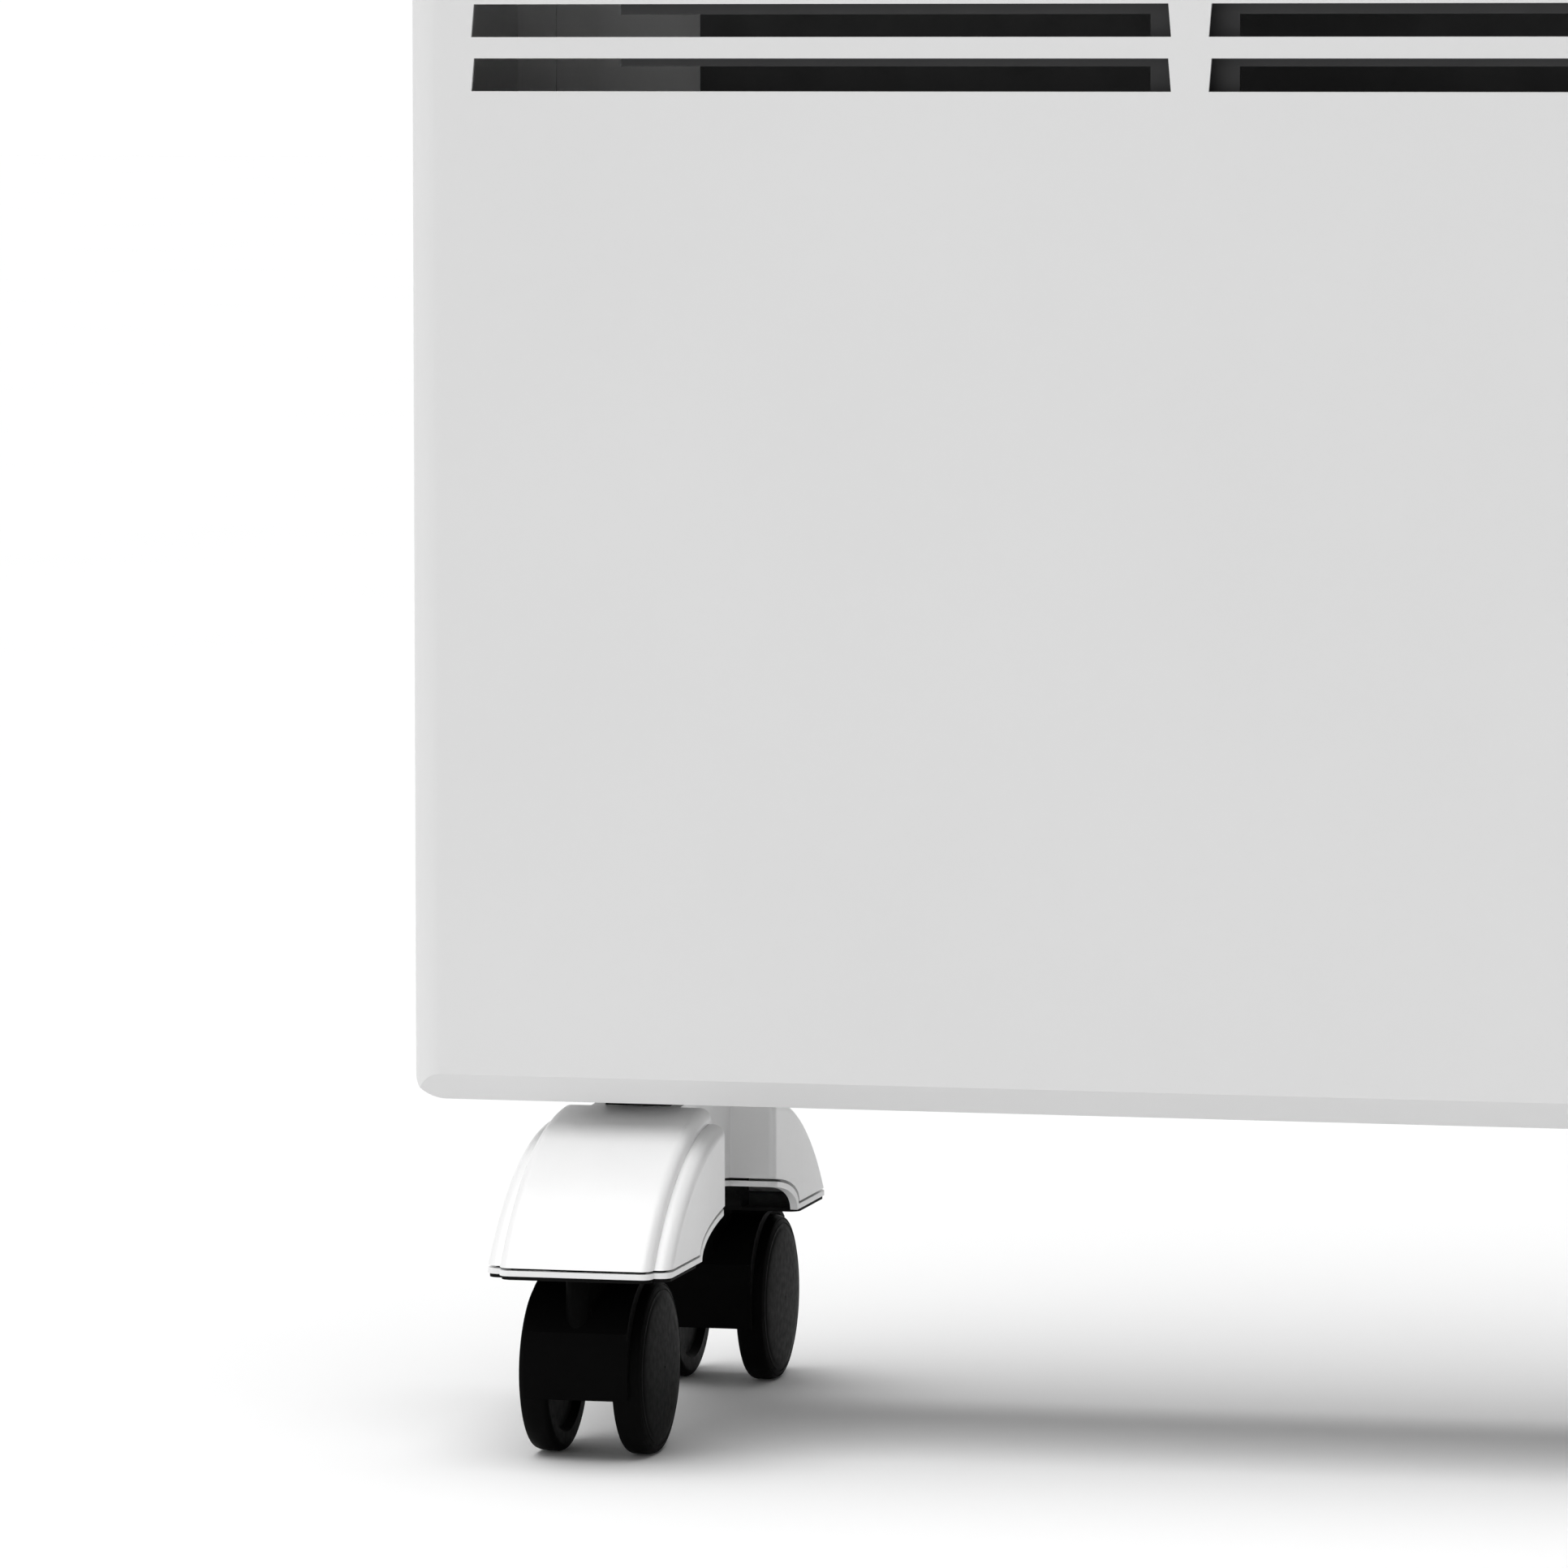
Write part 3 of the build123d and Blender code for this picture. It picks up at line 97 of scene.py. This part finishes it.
# Thermostat knob and the strokes round it
KNOB_SKIRT = 5 * MM
KNOB_CROWN = 2.4 * MM
KNOB_BORE = 3.2 * MM
KNOB_RIBS = 36
STEPS_PER_RIB = 8
KNOB_RIB_DEPTH = 0.5 * MM
GRIP_HALF_WIDTH = 4 * MM
GRIP_EDGE = 1.2 * MM
POINTER_HALF_WIDTH = 0.7 * MM
POINTER_SINK = 0.01 * MM
DIAL_MARKS = 10
DIAL_SWEEP = 270.0
DIAL_GAP = 1.6 * MM
END_MARK_LENGTH = 3.2 * MM
MARK_LENGTH = 2.2 * MM
MARK_HALF_WIDTH = 0.3 * MM
MARK_RELIEF = 0.08 * MM


# ------------------------------------------------------------------ materials


class Shade:
    """A node material with a Principled shader and short calls for its textures."""

    def __init__(self, name, colour, roughness, metallic=0.0, specular=0.5):
        self.material = bpy.data.materials.new(name)
        self.material.use_nodes = True
        self.nodes = self.material.node_tree.nodes
        self.links = self.material.node_tree.links
        self.shader = self.nodes["Principled BSDF"]
        self.shader.inputs["Base Color"].default_value = (*colour, 1.0)
        self.shader.inputs["Roughness"].default_value = roughness
        self.shader.inputs["Metallic"].default_value = metallic
        self.shader.inputs["Specular IOR Level"].default_value = specular
        self.colour = colour
        self.place = self.nodes.new("ShaderNodeTexCoord").outputs["Object"]
        self.height = None

    def stretched(self, scale):
        """Object coordinates stretched by a factor along each axis."""
        mapping = self.nodes.new("ShaderNodeMapping")
        mapping.inputs["Scale"].default_value = scale
        self.links.new(self.place, mapping.inputs["Vector"])
        return mapping.outputs["Vector"]

    def noise(self, size, detail=3.0, rough=0.5, scale=(1, 1, 1)):
        """Noise whose features are about `size` metres across."""
        noise = self.nodes.new("ShaderNodeTexNoise")
        noise.inputs["Scale"].default_value = 1.0 / size
        noise.inputs["Detail"].default_value = detail
        noise.inputs["Roughness"].default_value = rough
        self.links.new(self.stretched(scale), noise.inputs["Vector"])
        return noise.outputs["Fac"]

    def cells(self, size):
        """Flat random cells about `size` metres across."""
        cells = self.nodes.new("ShaderNodeTexVoronoi")
        cells.inputs["Scale"].default_value = 1.0 / size
        self.links.new(self.place, cells.inputs["Vector"])
        return cells.outputs["Color"]

    def ramp(self, value, low, high, out_low, out_high):
        """A value between `low` and `high`, turned into one between two others."""
        spread = self.nodes.new("ShaderNodeMapRange")
        spread.inputs["From Min"].default_value = low
        spread.inputs["From Max"].default_value = high
        spread.inputs["To Min"].default_value = out_low
        spread.inputs["To Max"].default_value = out_high
        self.links.new(value, spread.inputs["Value"])
        return spread.outputs["Result"]

    def tint(self, value, other, low=0.3, high=0.7):
        """The colour shifts towards another one where the texture is high."""
        mix = self.nodes.new("ShaderNodeMix")
        mix.data_type = "RGBA"
        mix.inputs["A"].default_value = (*self.colour, 1.0)
        mix.inputs["B"].default_value = (*other, 1.0)
        self.links.new(self.ramp(value, low, high, 0.0, 1.0), mix.inputs["Factor"])
        self.links.new(mix.outputs["Result"], self.shader.inputs["Base Color"])

    def vary_roughness(self, value, low, high):
        self.links.new(self.ramp(value, 0.3, 0.7, low, high), self.shader.inputs["Roughness"])

    def bump(self, value, depth, strength=1.0):
        """Relief `depth` metres deep; calls add up."""
        bump = self.nodes.new("ShaderNodeBump")
        bump.inputs["Distance"].default_value = depth
        bump.inputs["Strength"].default_value = strength
        self.links.new(value, bump.inputs["Height"])
        if self.height is not None:
            self.links.new(self.height, bump.inputs["Normal"])
        self.height = bump.outputs["Normal"]
        self.links.new(self.height, self.shader.inputs["Normal"])


def lighter(colour, factor):
    return tuple(min(1.0, part * factor) for part in colour)


def powder_coat(name, colour, roughness):
    """Baked powder paint: fine orange peel over a very faint unevenness of tone."""
    shade = Shade(name, colour, roughness)
    shade.tint(shade.noise(0.09, detail=2.0), lighter(colour, 0.985))
    shade.vary_roughness(shade.noise(0.012, detail=4.0), roughness - 0.05, roughness + 0.05)
    shade.bump(shade.noise(1.6 * MM, detail=1.0), 0.012 * MM)
    shade.bump(shade.noise(0.35 * MM, detail=2.0), 0.004 * MM)
    return shade.material


def moulded_plastic(name, colour, roughness, grain, relief, coat=0.0):
    """Injection-moulded plastic with a spark-eroded grain."""
    shade = Shade(name, colour, roughness)
    shade.tint(shade.noise(0.03), lighter(colour, 0.96))
    shade.vary_roughness(shade.noise(grain * 3, detail=4.0), roughness - 0.06, roughness + 0.06)
    shade.bump(shade.noise(grain, detail=3.0, rough=0.6), relief)
    shade.shader.inputs["Coat Weight"].default_value = coat
    shade.shader.inputs["Coat Roughness"].default_value = 0.25
    return shade.material


def deep_black(name, tone, roughness):
    """Black nylon that throws back very little light."""
    shade = Shade(name, (tone, tone, tone), roughness, specular=0.02)
    shade.tint(shade.noise(0.02), lighter((tone, tone, tone), 1.3))
    shade.vary_roughness(shade.noise(2 * MM, detail=4.0), roughness - 0.06, roughness + 0.06)
    shade.bump(shade.noise(0.5 * MM, detail=3.0), 0.008 * MM)
    return shade.material


def bright_metal(name, colour, roughness, stretch):
    """Plated or drawn metal with fine marks along one axis."""
    shade = Shade(name, colour, roughness, metallic=1.0)
    marks = shade.noise(0.5 * MM, detail=5.0, rough=0.7, scale=stretch)
    shade.tint(shade.noise(4 * MM, detail=4.0), lighter(colour, 0.86))
    shade.vary_roughness(marks, roughness - 0.08, roughness + 0.12)
    shade.bump(marks, 0.006 * MM)
    return shade.material


def galvanised_sheet(name, colour):
    """Zinc spangle: flat crystals a few millimetres across."""
    shade = Shade(name, colour, 0.42, metallic=1.0)
    spangle = shade.cells(9 * MM)
    grey = shade.nodes.new("ShaderNodeRGBToBW")
    shade.links.new(spangle, grey.inputs["Color"])
    shade.tint(grey.outputs["Val"], lighter(colour, 0.72), 0.2, 0.8)
    shade.vary_roughness(grey.outputs["Val"], 0.34, 0.5)
    shade.bump(shade.noise(0.8 * MM), 0.006 * MM)
    return shade.material


def clear_tint(name, colour):
    """Tinted transparent plastic of the lamp."""
    shade = Shade(name, colour, 0.12)
    shade.tint(shade.noise(1.2 * MM), lighter(colour, 0.8))
    shade.shader.inputs["Transmission Weight"].default_value = 0.55
    shade.shader.inputs["IOR"].default_value = 1.49
    shade.bump(shade.noise(0.6 * MM), 0.01 * MM)
    return shade.material


DRAWN_ALONG_X = (0.03, 1.0, 1.0)
TURNED = (1.0, 1.0, 0.2)


def make_materials():
    return {
        "body_enamel": powder_coat("body_enamel", (0.74, 0.74, 0.74), 0.42),
        # Painted shade: the sheet behind the slots is made nearly black so the slots read dark, in place of
        # the shade inside the casing
        "dark_sheet": powder_coat("dark_sheet", (0.022, 0.022, 0.023), 0.5),
        "galvanised": galvanised_sheet("galvanised", (0.62, 0.63, 0.64)),
        "element_aluminium": bright_metal(
            "element_aluminium", (0.55, 0.56, 0.57), 0.45, DRAWN_ALONG_X
        ),
        "bright_steel": bright_metal("bright_steel", (0.6, 0.6, 0.6), 0.3, TURNED),
        "ceramic_white": moulded_plastic("ceramic_white", (0.85, 0.82, 0.76), 0.6, 0.4 * MM, 0.03 * MM),
        "black_fitting": moulded_plastic("black_fitting", (0.02, 0.02, 0.02), 0.45, 0.5 * MM, 0.015 * MM),
        "print_white": moulded_plastic("print_white", (0.82, 0.82, 0.82), 0.5, 0.3 * MM, 0.004 * MM),
        "terminal_cream": moulded_plastic("terminal_cream", (0.75, 0.71, 0.6), 0.4, 0.5 * MM, 0.01 * MM),
        "wire_insulation": moulded_plastic("wire_insulation", (0.35, 0.06, 0.04), 0.5, 0.6 * MM, 0.01 * MM),
        "panel_plastic": moulded_plastic("panel_plastic", (0.42, 0.42, 0.43), 0.48, 0.45 * MM, 0.02 * MM),
        "knob_plastic": moulded_plastic("knob_plastic", (0.13, 0.13, 0.14), 0.42, 0.4 * MM, 0.015 * MM),
        "rocker_plastic": moulded_plastic(
            "rocker_plastic", (0.02, 0.02, 0.02), 0.18, 0.8 * MM, 0.004 * MM, 0.5
        ),
        "lamp_amber": clear_tint("lamp_amber", (0.8, 0.32, 0.03)),
        "brass_weight": bright_metal("brass_weight", (0.65, 0.5, 0.22), 0.28, TURNED),
        "foot_white": moulded_plastic("foot_white", (0.86, 0.86, 0.86), 0.34, 0.5 * MM, 0.003 * MM, 0.3),
        "foot_black": deep_black("foot_black", 0.006, 0.55),
        "hood_black": deep_black("hood_black", 0.002, 0.6),
        "wheel_black": deep_black("wheel_black", 0.0025, 0.5),
    }


MATERIALS = make_materials()
SLOT_OF = {row["node"]: row["material_slot"] for row in frame["record"]["subparts"]}


def body_of(node):
    for body, members in frame["record"]["behaviour"]["bodies"].items():
        if node in members:
            return body
    return "root"


def paint(piece, name):
    piece.data.materials.clear()
    piece.data.materials.append(MATERIALS[name])


def finish_piece(piece, node, material=None):
    """Rides the CAD node's body and takes its slot, painted in another material if given."""
    paint(piece, material or SLOT_OF[node])
    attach(piece, body_of(node))


def new_object(name, mesh):
    piece = bpy.data.objects.new(name, mesh)
    bpy.context.scene.collection.objects.link(piece)
    return piece


# -------------------------------------------------------------- refined pieces


def refine(node, name, edge, segments=2, limit=28):
    """A finer piece in a CAD node's place: its flat triangles joined into whole
    faces and its hard edges rolled over by a small radius."""
    mesh = bpy.data.meshes.new(name)
    shape = bmesh.new()
    shape.from_mesh(NODES[node].data)
    bmesh.ops.remove_doubles(shape, verts=shape.verts, dist=0.002 * MM)
    bmesh.ops.join_triangles(
        shape, faces=shape.faces, angle_face_threshold=math.radians(0.5),
        angle_shape_threshold=math.pi,
    )
    for face in shape.faces:
        face.smooth = True
    shape.to_mesh(mesh)
    shape.free()
    piece = new_object(name, mesh)
    bevel = piece.modifiers.new("rolled edges", "BEVEL")
    bevel.width = edge
    bevel.segments = segments
    bevel.limit_method = "ANGLE"
    bevel.angle_limit = math.radians(limit)
    bevel.harden_normals = True
    bevel.miter_outer = "MITER_ARC"
    weighted = piece.modifiers.new("even shading", "WEIGHTED_NORMAL")
    weighted.keep_sharp = True
    weighted.weight = 60
    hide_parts(node)
    finish_piece(piece, node)


REFINED = {
    "front_casing": SHEET_EDGE,
    "rear_cover": SHEET_EDGE,
    "foot_trim_left": FINE_EDGE,
    "foot_trim_right": FINE_EDGE,
    "foot_frame_left": FINE_EDGE,
    "foot_frame_right": FINE_EDGE,
    "control_panel": MOULDED_EDGE,
    "switch_upper_body": MOULDED_EDGE,
    "switch_lower_body": MOULDED_EDGE,
    "switch_upper_rocker": FINE_EDGE,
    "switch_lower_rocker": FINE_EDGE,
}


# ---------------------------------------------------------------- turned pieces


def turn(name, profile, centre, steps, wave=None):
    """A closed mesh turned about an axle along X: `profile` lists (x, radius) pairs,
    and `wave` may move a point's radius by the angle that it is at."""
    mesh = bpy.data.meshes.new(name)
    shape = bmesh.new()
    rings = []
    for along, radius in profile:
        ring = []
        for step in range(steps):
            angle = 2 * math.pi * step / steps
            reach = wave(along, radius, angle) if wave else radius
            place = (along, centre.y + reach * math.sin(angle), centre.z + reach * math.cos(angle))
            ring.append(shape.verts.new(place))
        rings.append(ring)
    for near, far in zip(rings, rings[1:] + rings[:1]):
        for step in range(steps):
            after = (step + 1) % steps
            shape.faces.new((near[step], near[after], far[after], far[step]))
    bmesh.ops.recalc_face_normals(shape, faces=shape.faces)
    for face in shape.faces:
        face.smooth = True
    shape.to_mesh(mesh)
    shape.free()
    piece = new_object(name, mesh)
    split = piece.modifiers.new("crisp steps", "EDGE_SPLIT")
    split.split_angle = math.radians(40)
    return piece


def arc_points(centre, radii, start, end, count):
    """Points of an ellipse's arc in (x, radius), between two angles in degrees."""
    points = []
    for step in range(count + 1):
        angle = math.radians(start + (end - start) * step / count)
        points.append((centre[0] + radii[0] * math.cos(angle), centre[1] + radii[1] * math.sin(angle)))
    return points


def make_wheel(node):
    """Castor wheel: crowned tread, rolled edge, two fine rings and a domed hub cap."""
    low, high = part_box(node)
    hood_low, hood_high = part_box(node.split("_wheel_")[0] + "_hood")
    axle = (low + high) / 2
    radius = (high.z - low.z) / 2
    outward = 1 if axle.x > (hood_low.x + hood_high.x) / 2 else -1
    inner, apex = (low.x, high.x) if outward > 0 else (high.x, low.x)
    width = high.x - low.x
    bore = WHEEL_BORE * radius
    dome = DOME_OF_WIDTH * width

    def across(distance):
        return inner + outward * distance

    profile = [
        (0.0, bore),
        (0.0, HUB_RING_INNER * radius),
        (RECESS_DEPTH, HUB_RING_OUTER * radius),
        (RECESS_DEPTH, RECESS_EDGE * radius),
        (0.0, RIM_EDGE * radius),
        (0.0, radius - TREAD_CORNER),
    ]
    corner = (TREAD_CORNER, radius - TREAD_CORNER)
    profile += arc_points(corner, (TREAD_CORNER, TREAD_CORNER), 180, 90, 6)
    rim = width - dome
    roll_centre = (rim - TREAD_ROLL, radius * SEAM_EDGES[1])
    profile += arc_points(roll_centre, (TREAD_ROLL, radius - roll_centre[1]), 90, 6, 8)
    for seam in reversed(SEAM_EDGES):
        face = rim + dome * STEP_OF_DOME * (seam < SEAM_EDGES[1])
        edge = seam * radius
        profile += [(face, edge), (face - SEAM_DEPTH, edge - SEAM_WIDTH / 4)]
        profile += [(face - SEAM_DEPTH, edge - SEAM_WIDTH), (face, edge - 1.3 * SEAM_WIDTH)]
    cap = CAP_EDGE * radius
    rise = dome * CAP_OF_DOME
    profile += arc_points((width - rise, 0.0), (rise, cap), 88, 1, 18)
    profile += [(width - CAP_WALL, CAP_PINHOLE), (width - CAP_WALL, bore)]
    profile = [(across(along), distance) for along, distance in profile]
    wheel = turn(node + "_turned", profile, axle, WHEEL_STEPS)
    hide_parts(node)
    finish_piece(wheel, node)


# ------------------------------------------------------------ knob and markings


def close_plate(name, shape, base, top):
    """A piece from two matching rings of points: both faces and the wall between."""
    shape.faces.new(base)
    shape.faces.new(list(reversed(top)))
    for index in range(len(base)):
        after = (index + 1) % len(base)
        shape.faces.new((base[index], top[index], top[after], base[after]))
    bmesh.ops.recalc_face_normals(shape, faces=shape.faces)
    mesh = bpy.data.meshes.new(name)
    shape.to_mesh(mesh)
    shape.free()
    return new_object(name, mesh)


def plate(name, outline, low_x, high_x, edge):
    """A plate in the Y-Z plane between two X positions, with rolled edges."""
    shape = bmesh.new()
    base = [shape.verts.new((low_x, y, z)) for y, z in outline]
    top = [shape.verts.new((high_x, y, z)) for y, z in outline]
    piece = close_plate(name, shape, base, top)
    bevel = piece.modifiers.new("rolled edges", "BEVEL")
    bevel.width = edge
    bevel.segments = 3
    bevel.limit_method = "ANGLE"
    bevel.angle_limit = math.radians(40)
    return piece


def slot_outline(centre, half_length, half_width, steps=10):
    """Outline of a bar with round ends that stands along Z."""
    points = []
    for end in (1, -1):
        for step in range(steps + 1):
            angle = math.pi * step / steps
            y = centre.y + end * half_width * math.cos(angle)
            z = centre.z + end * (half_length - half_width + half_width * math.sin(angle))
            points.append((y, z))
    return points


def make_knob():
    """Thermostat knob: ribbed skirt, conical crown, grip bar and a pointer line."""
    low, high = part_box("thermostat_knob")
    centre = (low + high) / 2
    radius = (high.z - low.z) / 2
    skirt_top = low.x + KNOB_SKIRT
    crown_top = skirt_top + KNOB_CROWN

    def ribs(along, reach, angle):
        if along > skirt_top or reach < radius - 0.8 * MM:
            return reach
        return reach - KNOB_RIB_DEPTH * (0.5 - 0.5 * math.cos(KNOB_RIBS * angle))

    profile = [(low.x, KNOB_BORE), (low.x, radius - 0.3 * MM), (low.x + 0.4 * MM, radius)]
    profile += [(skirt_top - 1.2 * MM, radius)]
    profile += arc_points((skirt_top - 1.2 * MM, radius - 2 * MM), (1.2 * MM, 1.3 * MM), 80, 0, 5)
    profile += [(skirt_top, radius - 2.3 * MM), (crown_top, radius - 3.2 * MM)]
    profile += [(crown_top, radius - 4 * MM), (crown_top, KNOB_BORE)]
    steps = KNOB_RIBS * STEPS_PER_RIB
    knob = turn("thermostat_knob_turned", profile, centre, steps, ribs)
    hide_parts("thermostat_knob")
    finish_piece(knob, "thermostat_knob")

    outline = slot_outline(centre, radius * 0.85, GRIP_HALF_WIDTH)
    grip = plate("thermostat_grip", outline, low.x, high.x, GRIP_EDGE)
    finish_piece(grip, "thermostat_knob")

    tip = Vector((0.0, centre.y, centre.z + radius * 0.58))
    outline = slot_outline(tip, radius * 0.2, POINTER_HALF_WIDTH, 5)
    top = high.x - POINTER_SINK
    pointer = plate("thermostat_pointer", outline, high.x - 0.5 * MM, top, 0.02 * MM)
    finish_piece(pointer, "thermostat_knob", "print_white")


def surface_tree(node):
    """The CAD node's surface, to lay marks on."""
    shape = bmesh.new()
    shape.from_mesh(NODES[node].data)
    tree = BVHTree.FromBMesh(shape)
    shape.free()
    return tree


def lay_mark(name, node, outline):
    """A thin raised mark whose outline is laid on the node's surface along X."""
    tree = surface_tree(node)
    shape = bmesh.new()
    base = []
    top = []
    for y, z in outline:
        hit = tree.ray_cast(Vector((1.0, y, z)), Vector((-1.0, 0.0, 0.0)))[0]
        base.append(shape.verts.new((hit.x - MARK_RELIEF, y, z)))
        top.append(shape.verts.new((hit.x + MARK_RELIEF, y, z)))
    finish_piece(close_plate(name, shape, base, top), node, "print_white")


def make_dial_marks():
    """A ring of plain strokes round the knob, longer at both ends of its turn."""
    low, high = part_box("thermostat_knob")
    centre = (low + high) / 2
    radius = (high.z - low.z) / 2
    for index in range(DIAL_MARKS):
        turn_by = math.radians(index * DIAL_SWEEP / (DIAL_MARKS - 1))
        across = Vector((math.cos(turn_by), -math.sin(turn_by)))
        along = Vector((math.sin(turn_by), math.cos(turn_by)))
        length = END_MARK_LENGTH if index in (0, DIAL_MARKS - 1) else MARK_LENGTH
        outline = []
        for side, reach in ((-1, 0.0), (1, 0.0), (1, length), (-1, length)):
            place = along * (radius + DIAL_GAP + reach) + across * (side * MARK_HALF_WIDTH)
            outline.append((centre.y + place.x, centre.z + place.y))
        lay_mark(f"dial_mark_{index + 1}", "control_panel", outline)


def dress_cad_nodes():
    """Every CAD node that still shows gets its slot's procedural material."""
    for node, piece in NODES.items():
        paint(piece, SLOT_OF[node])


# ------------------------------------------------------------- light and stage


def make_floor():
    mesh = bpy.data.meshes.new("floor")
    half = FLOOR_SIZE / 2
    corners = [(-half, -half, 0), (half, -half, 0), (half, half, 0), (-half, half, 0)]
    mesh.from_pydata(corners, [], [(0, 1, 2, 3)])
    floor = new_object("floor", mesh)
    shade = Shade("floor_paper", (0.9, 0.9, 0.9), 0.9, specular=0.1)
    shade.tint(shade.noise(0.4), (0.91, 0.91, 0.91))
    mesh.materials.append(shade.material)


def make_sky():
    """White surroundings: brightest at the horizon, dimmer overhead and at both sides."""
    world = bpy.data.worlds.new("studio")
    bpy.context.scene.world = world
    world.use_nodes = True
    nodes, links = world.node_tree.nodes, world.node_tree.links
    direction = nodes.new("ShaderNodeTexCoord").outputs["Generated"]
    axes = nodes.new("ShaderNodeSeparateXYZ")
    links.new(direction, axes.inputs["Vector"])
    levels = []
    for axis, start, end, low, high in (
        ("Z", 0.12, 0.7, SKY_HORIZON, SKY_ZENITH),
        ("X", -0.1, 0.7, 1.0, SKY_DARK_SIDE),
        ("X", -0.9, -0.4, SKY_LEFT_SIDE, 1.0),
    ):
        spread = nodes.new("ShaderNodeMapRange")
        spread.interpolation_type = "SMOOTHSTEP"
        spread.inputs["From Min"].default_value = start
        spread.inputs["From Max"].default_value = end
        spread.inputs["To Min"].default_value = low
        spread.inputs["To Max"].default_value = high
        links.new(axes.outputs[axis], spread.inputs["Value"])
        levels.append(spread.outputs["Result"])
    total = levels[0]
    for level in levels[1:]:
        product = nodes.new("ShaderNodeMath")
        product.operation = "MULTIPLY"
        links.new(total, product.inputs[0])
        links.new(level, product.inputs[1])
        total = product.outputs["Value"]
    links.new(total, nodes["Background"].inputs["Color"])


def make_key():
    """Wide soft light from above, a little to the front and the left."""
    lamp = bpy.data.lights.new("key", "SUN")
    lamp.energy = KEY_STRENGTH
    lamp.angle = math.radians(KEY_SPREAD)
    key = bpy.data.objects.new("key", lamp)
    bpy.context.scene.collection.objects.link(key)
    key.rotation_euler = Vector(KEY_FROM).to_track_quat("Z", "Y").to_euler()


def make_camera():
    lens = bpy.data.cameras.new("camera")
    lens.lens = CAMERA_LENS
    lens.shift_x, lens.shift_y = CAMERA_SHIFT
    camera = bpy.data.objects.new("camera", lens)
    bpy.context.scene.collection.objects.link(camera)
    camera.location = CAMERA_PLACE
    camera.rotation_euler = (math.radians(90 - CAMERA_DIP), 0, math.radians(CAMERA_TURN))
    bpy.context.scene.camera = camera
    bpy.context.scene.view_settings.view_transform = "Standard"


make_camera()
make_floor()
make_sky()
make_key()
dress_cad_nodes()
for refined_node, radius in REFINED.items():
    refine(refined_node, refined_node + "_finished", radius)
for cad_node in sorted(NODES):
    if "_wheel_" in cad_node:
        make_wheel(cad_node)
make_knob()
make_dial_marks()
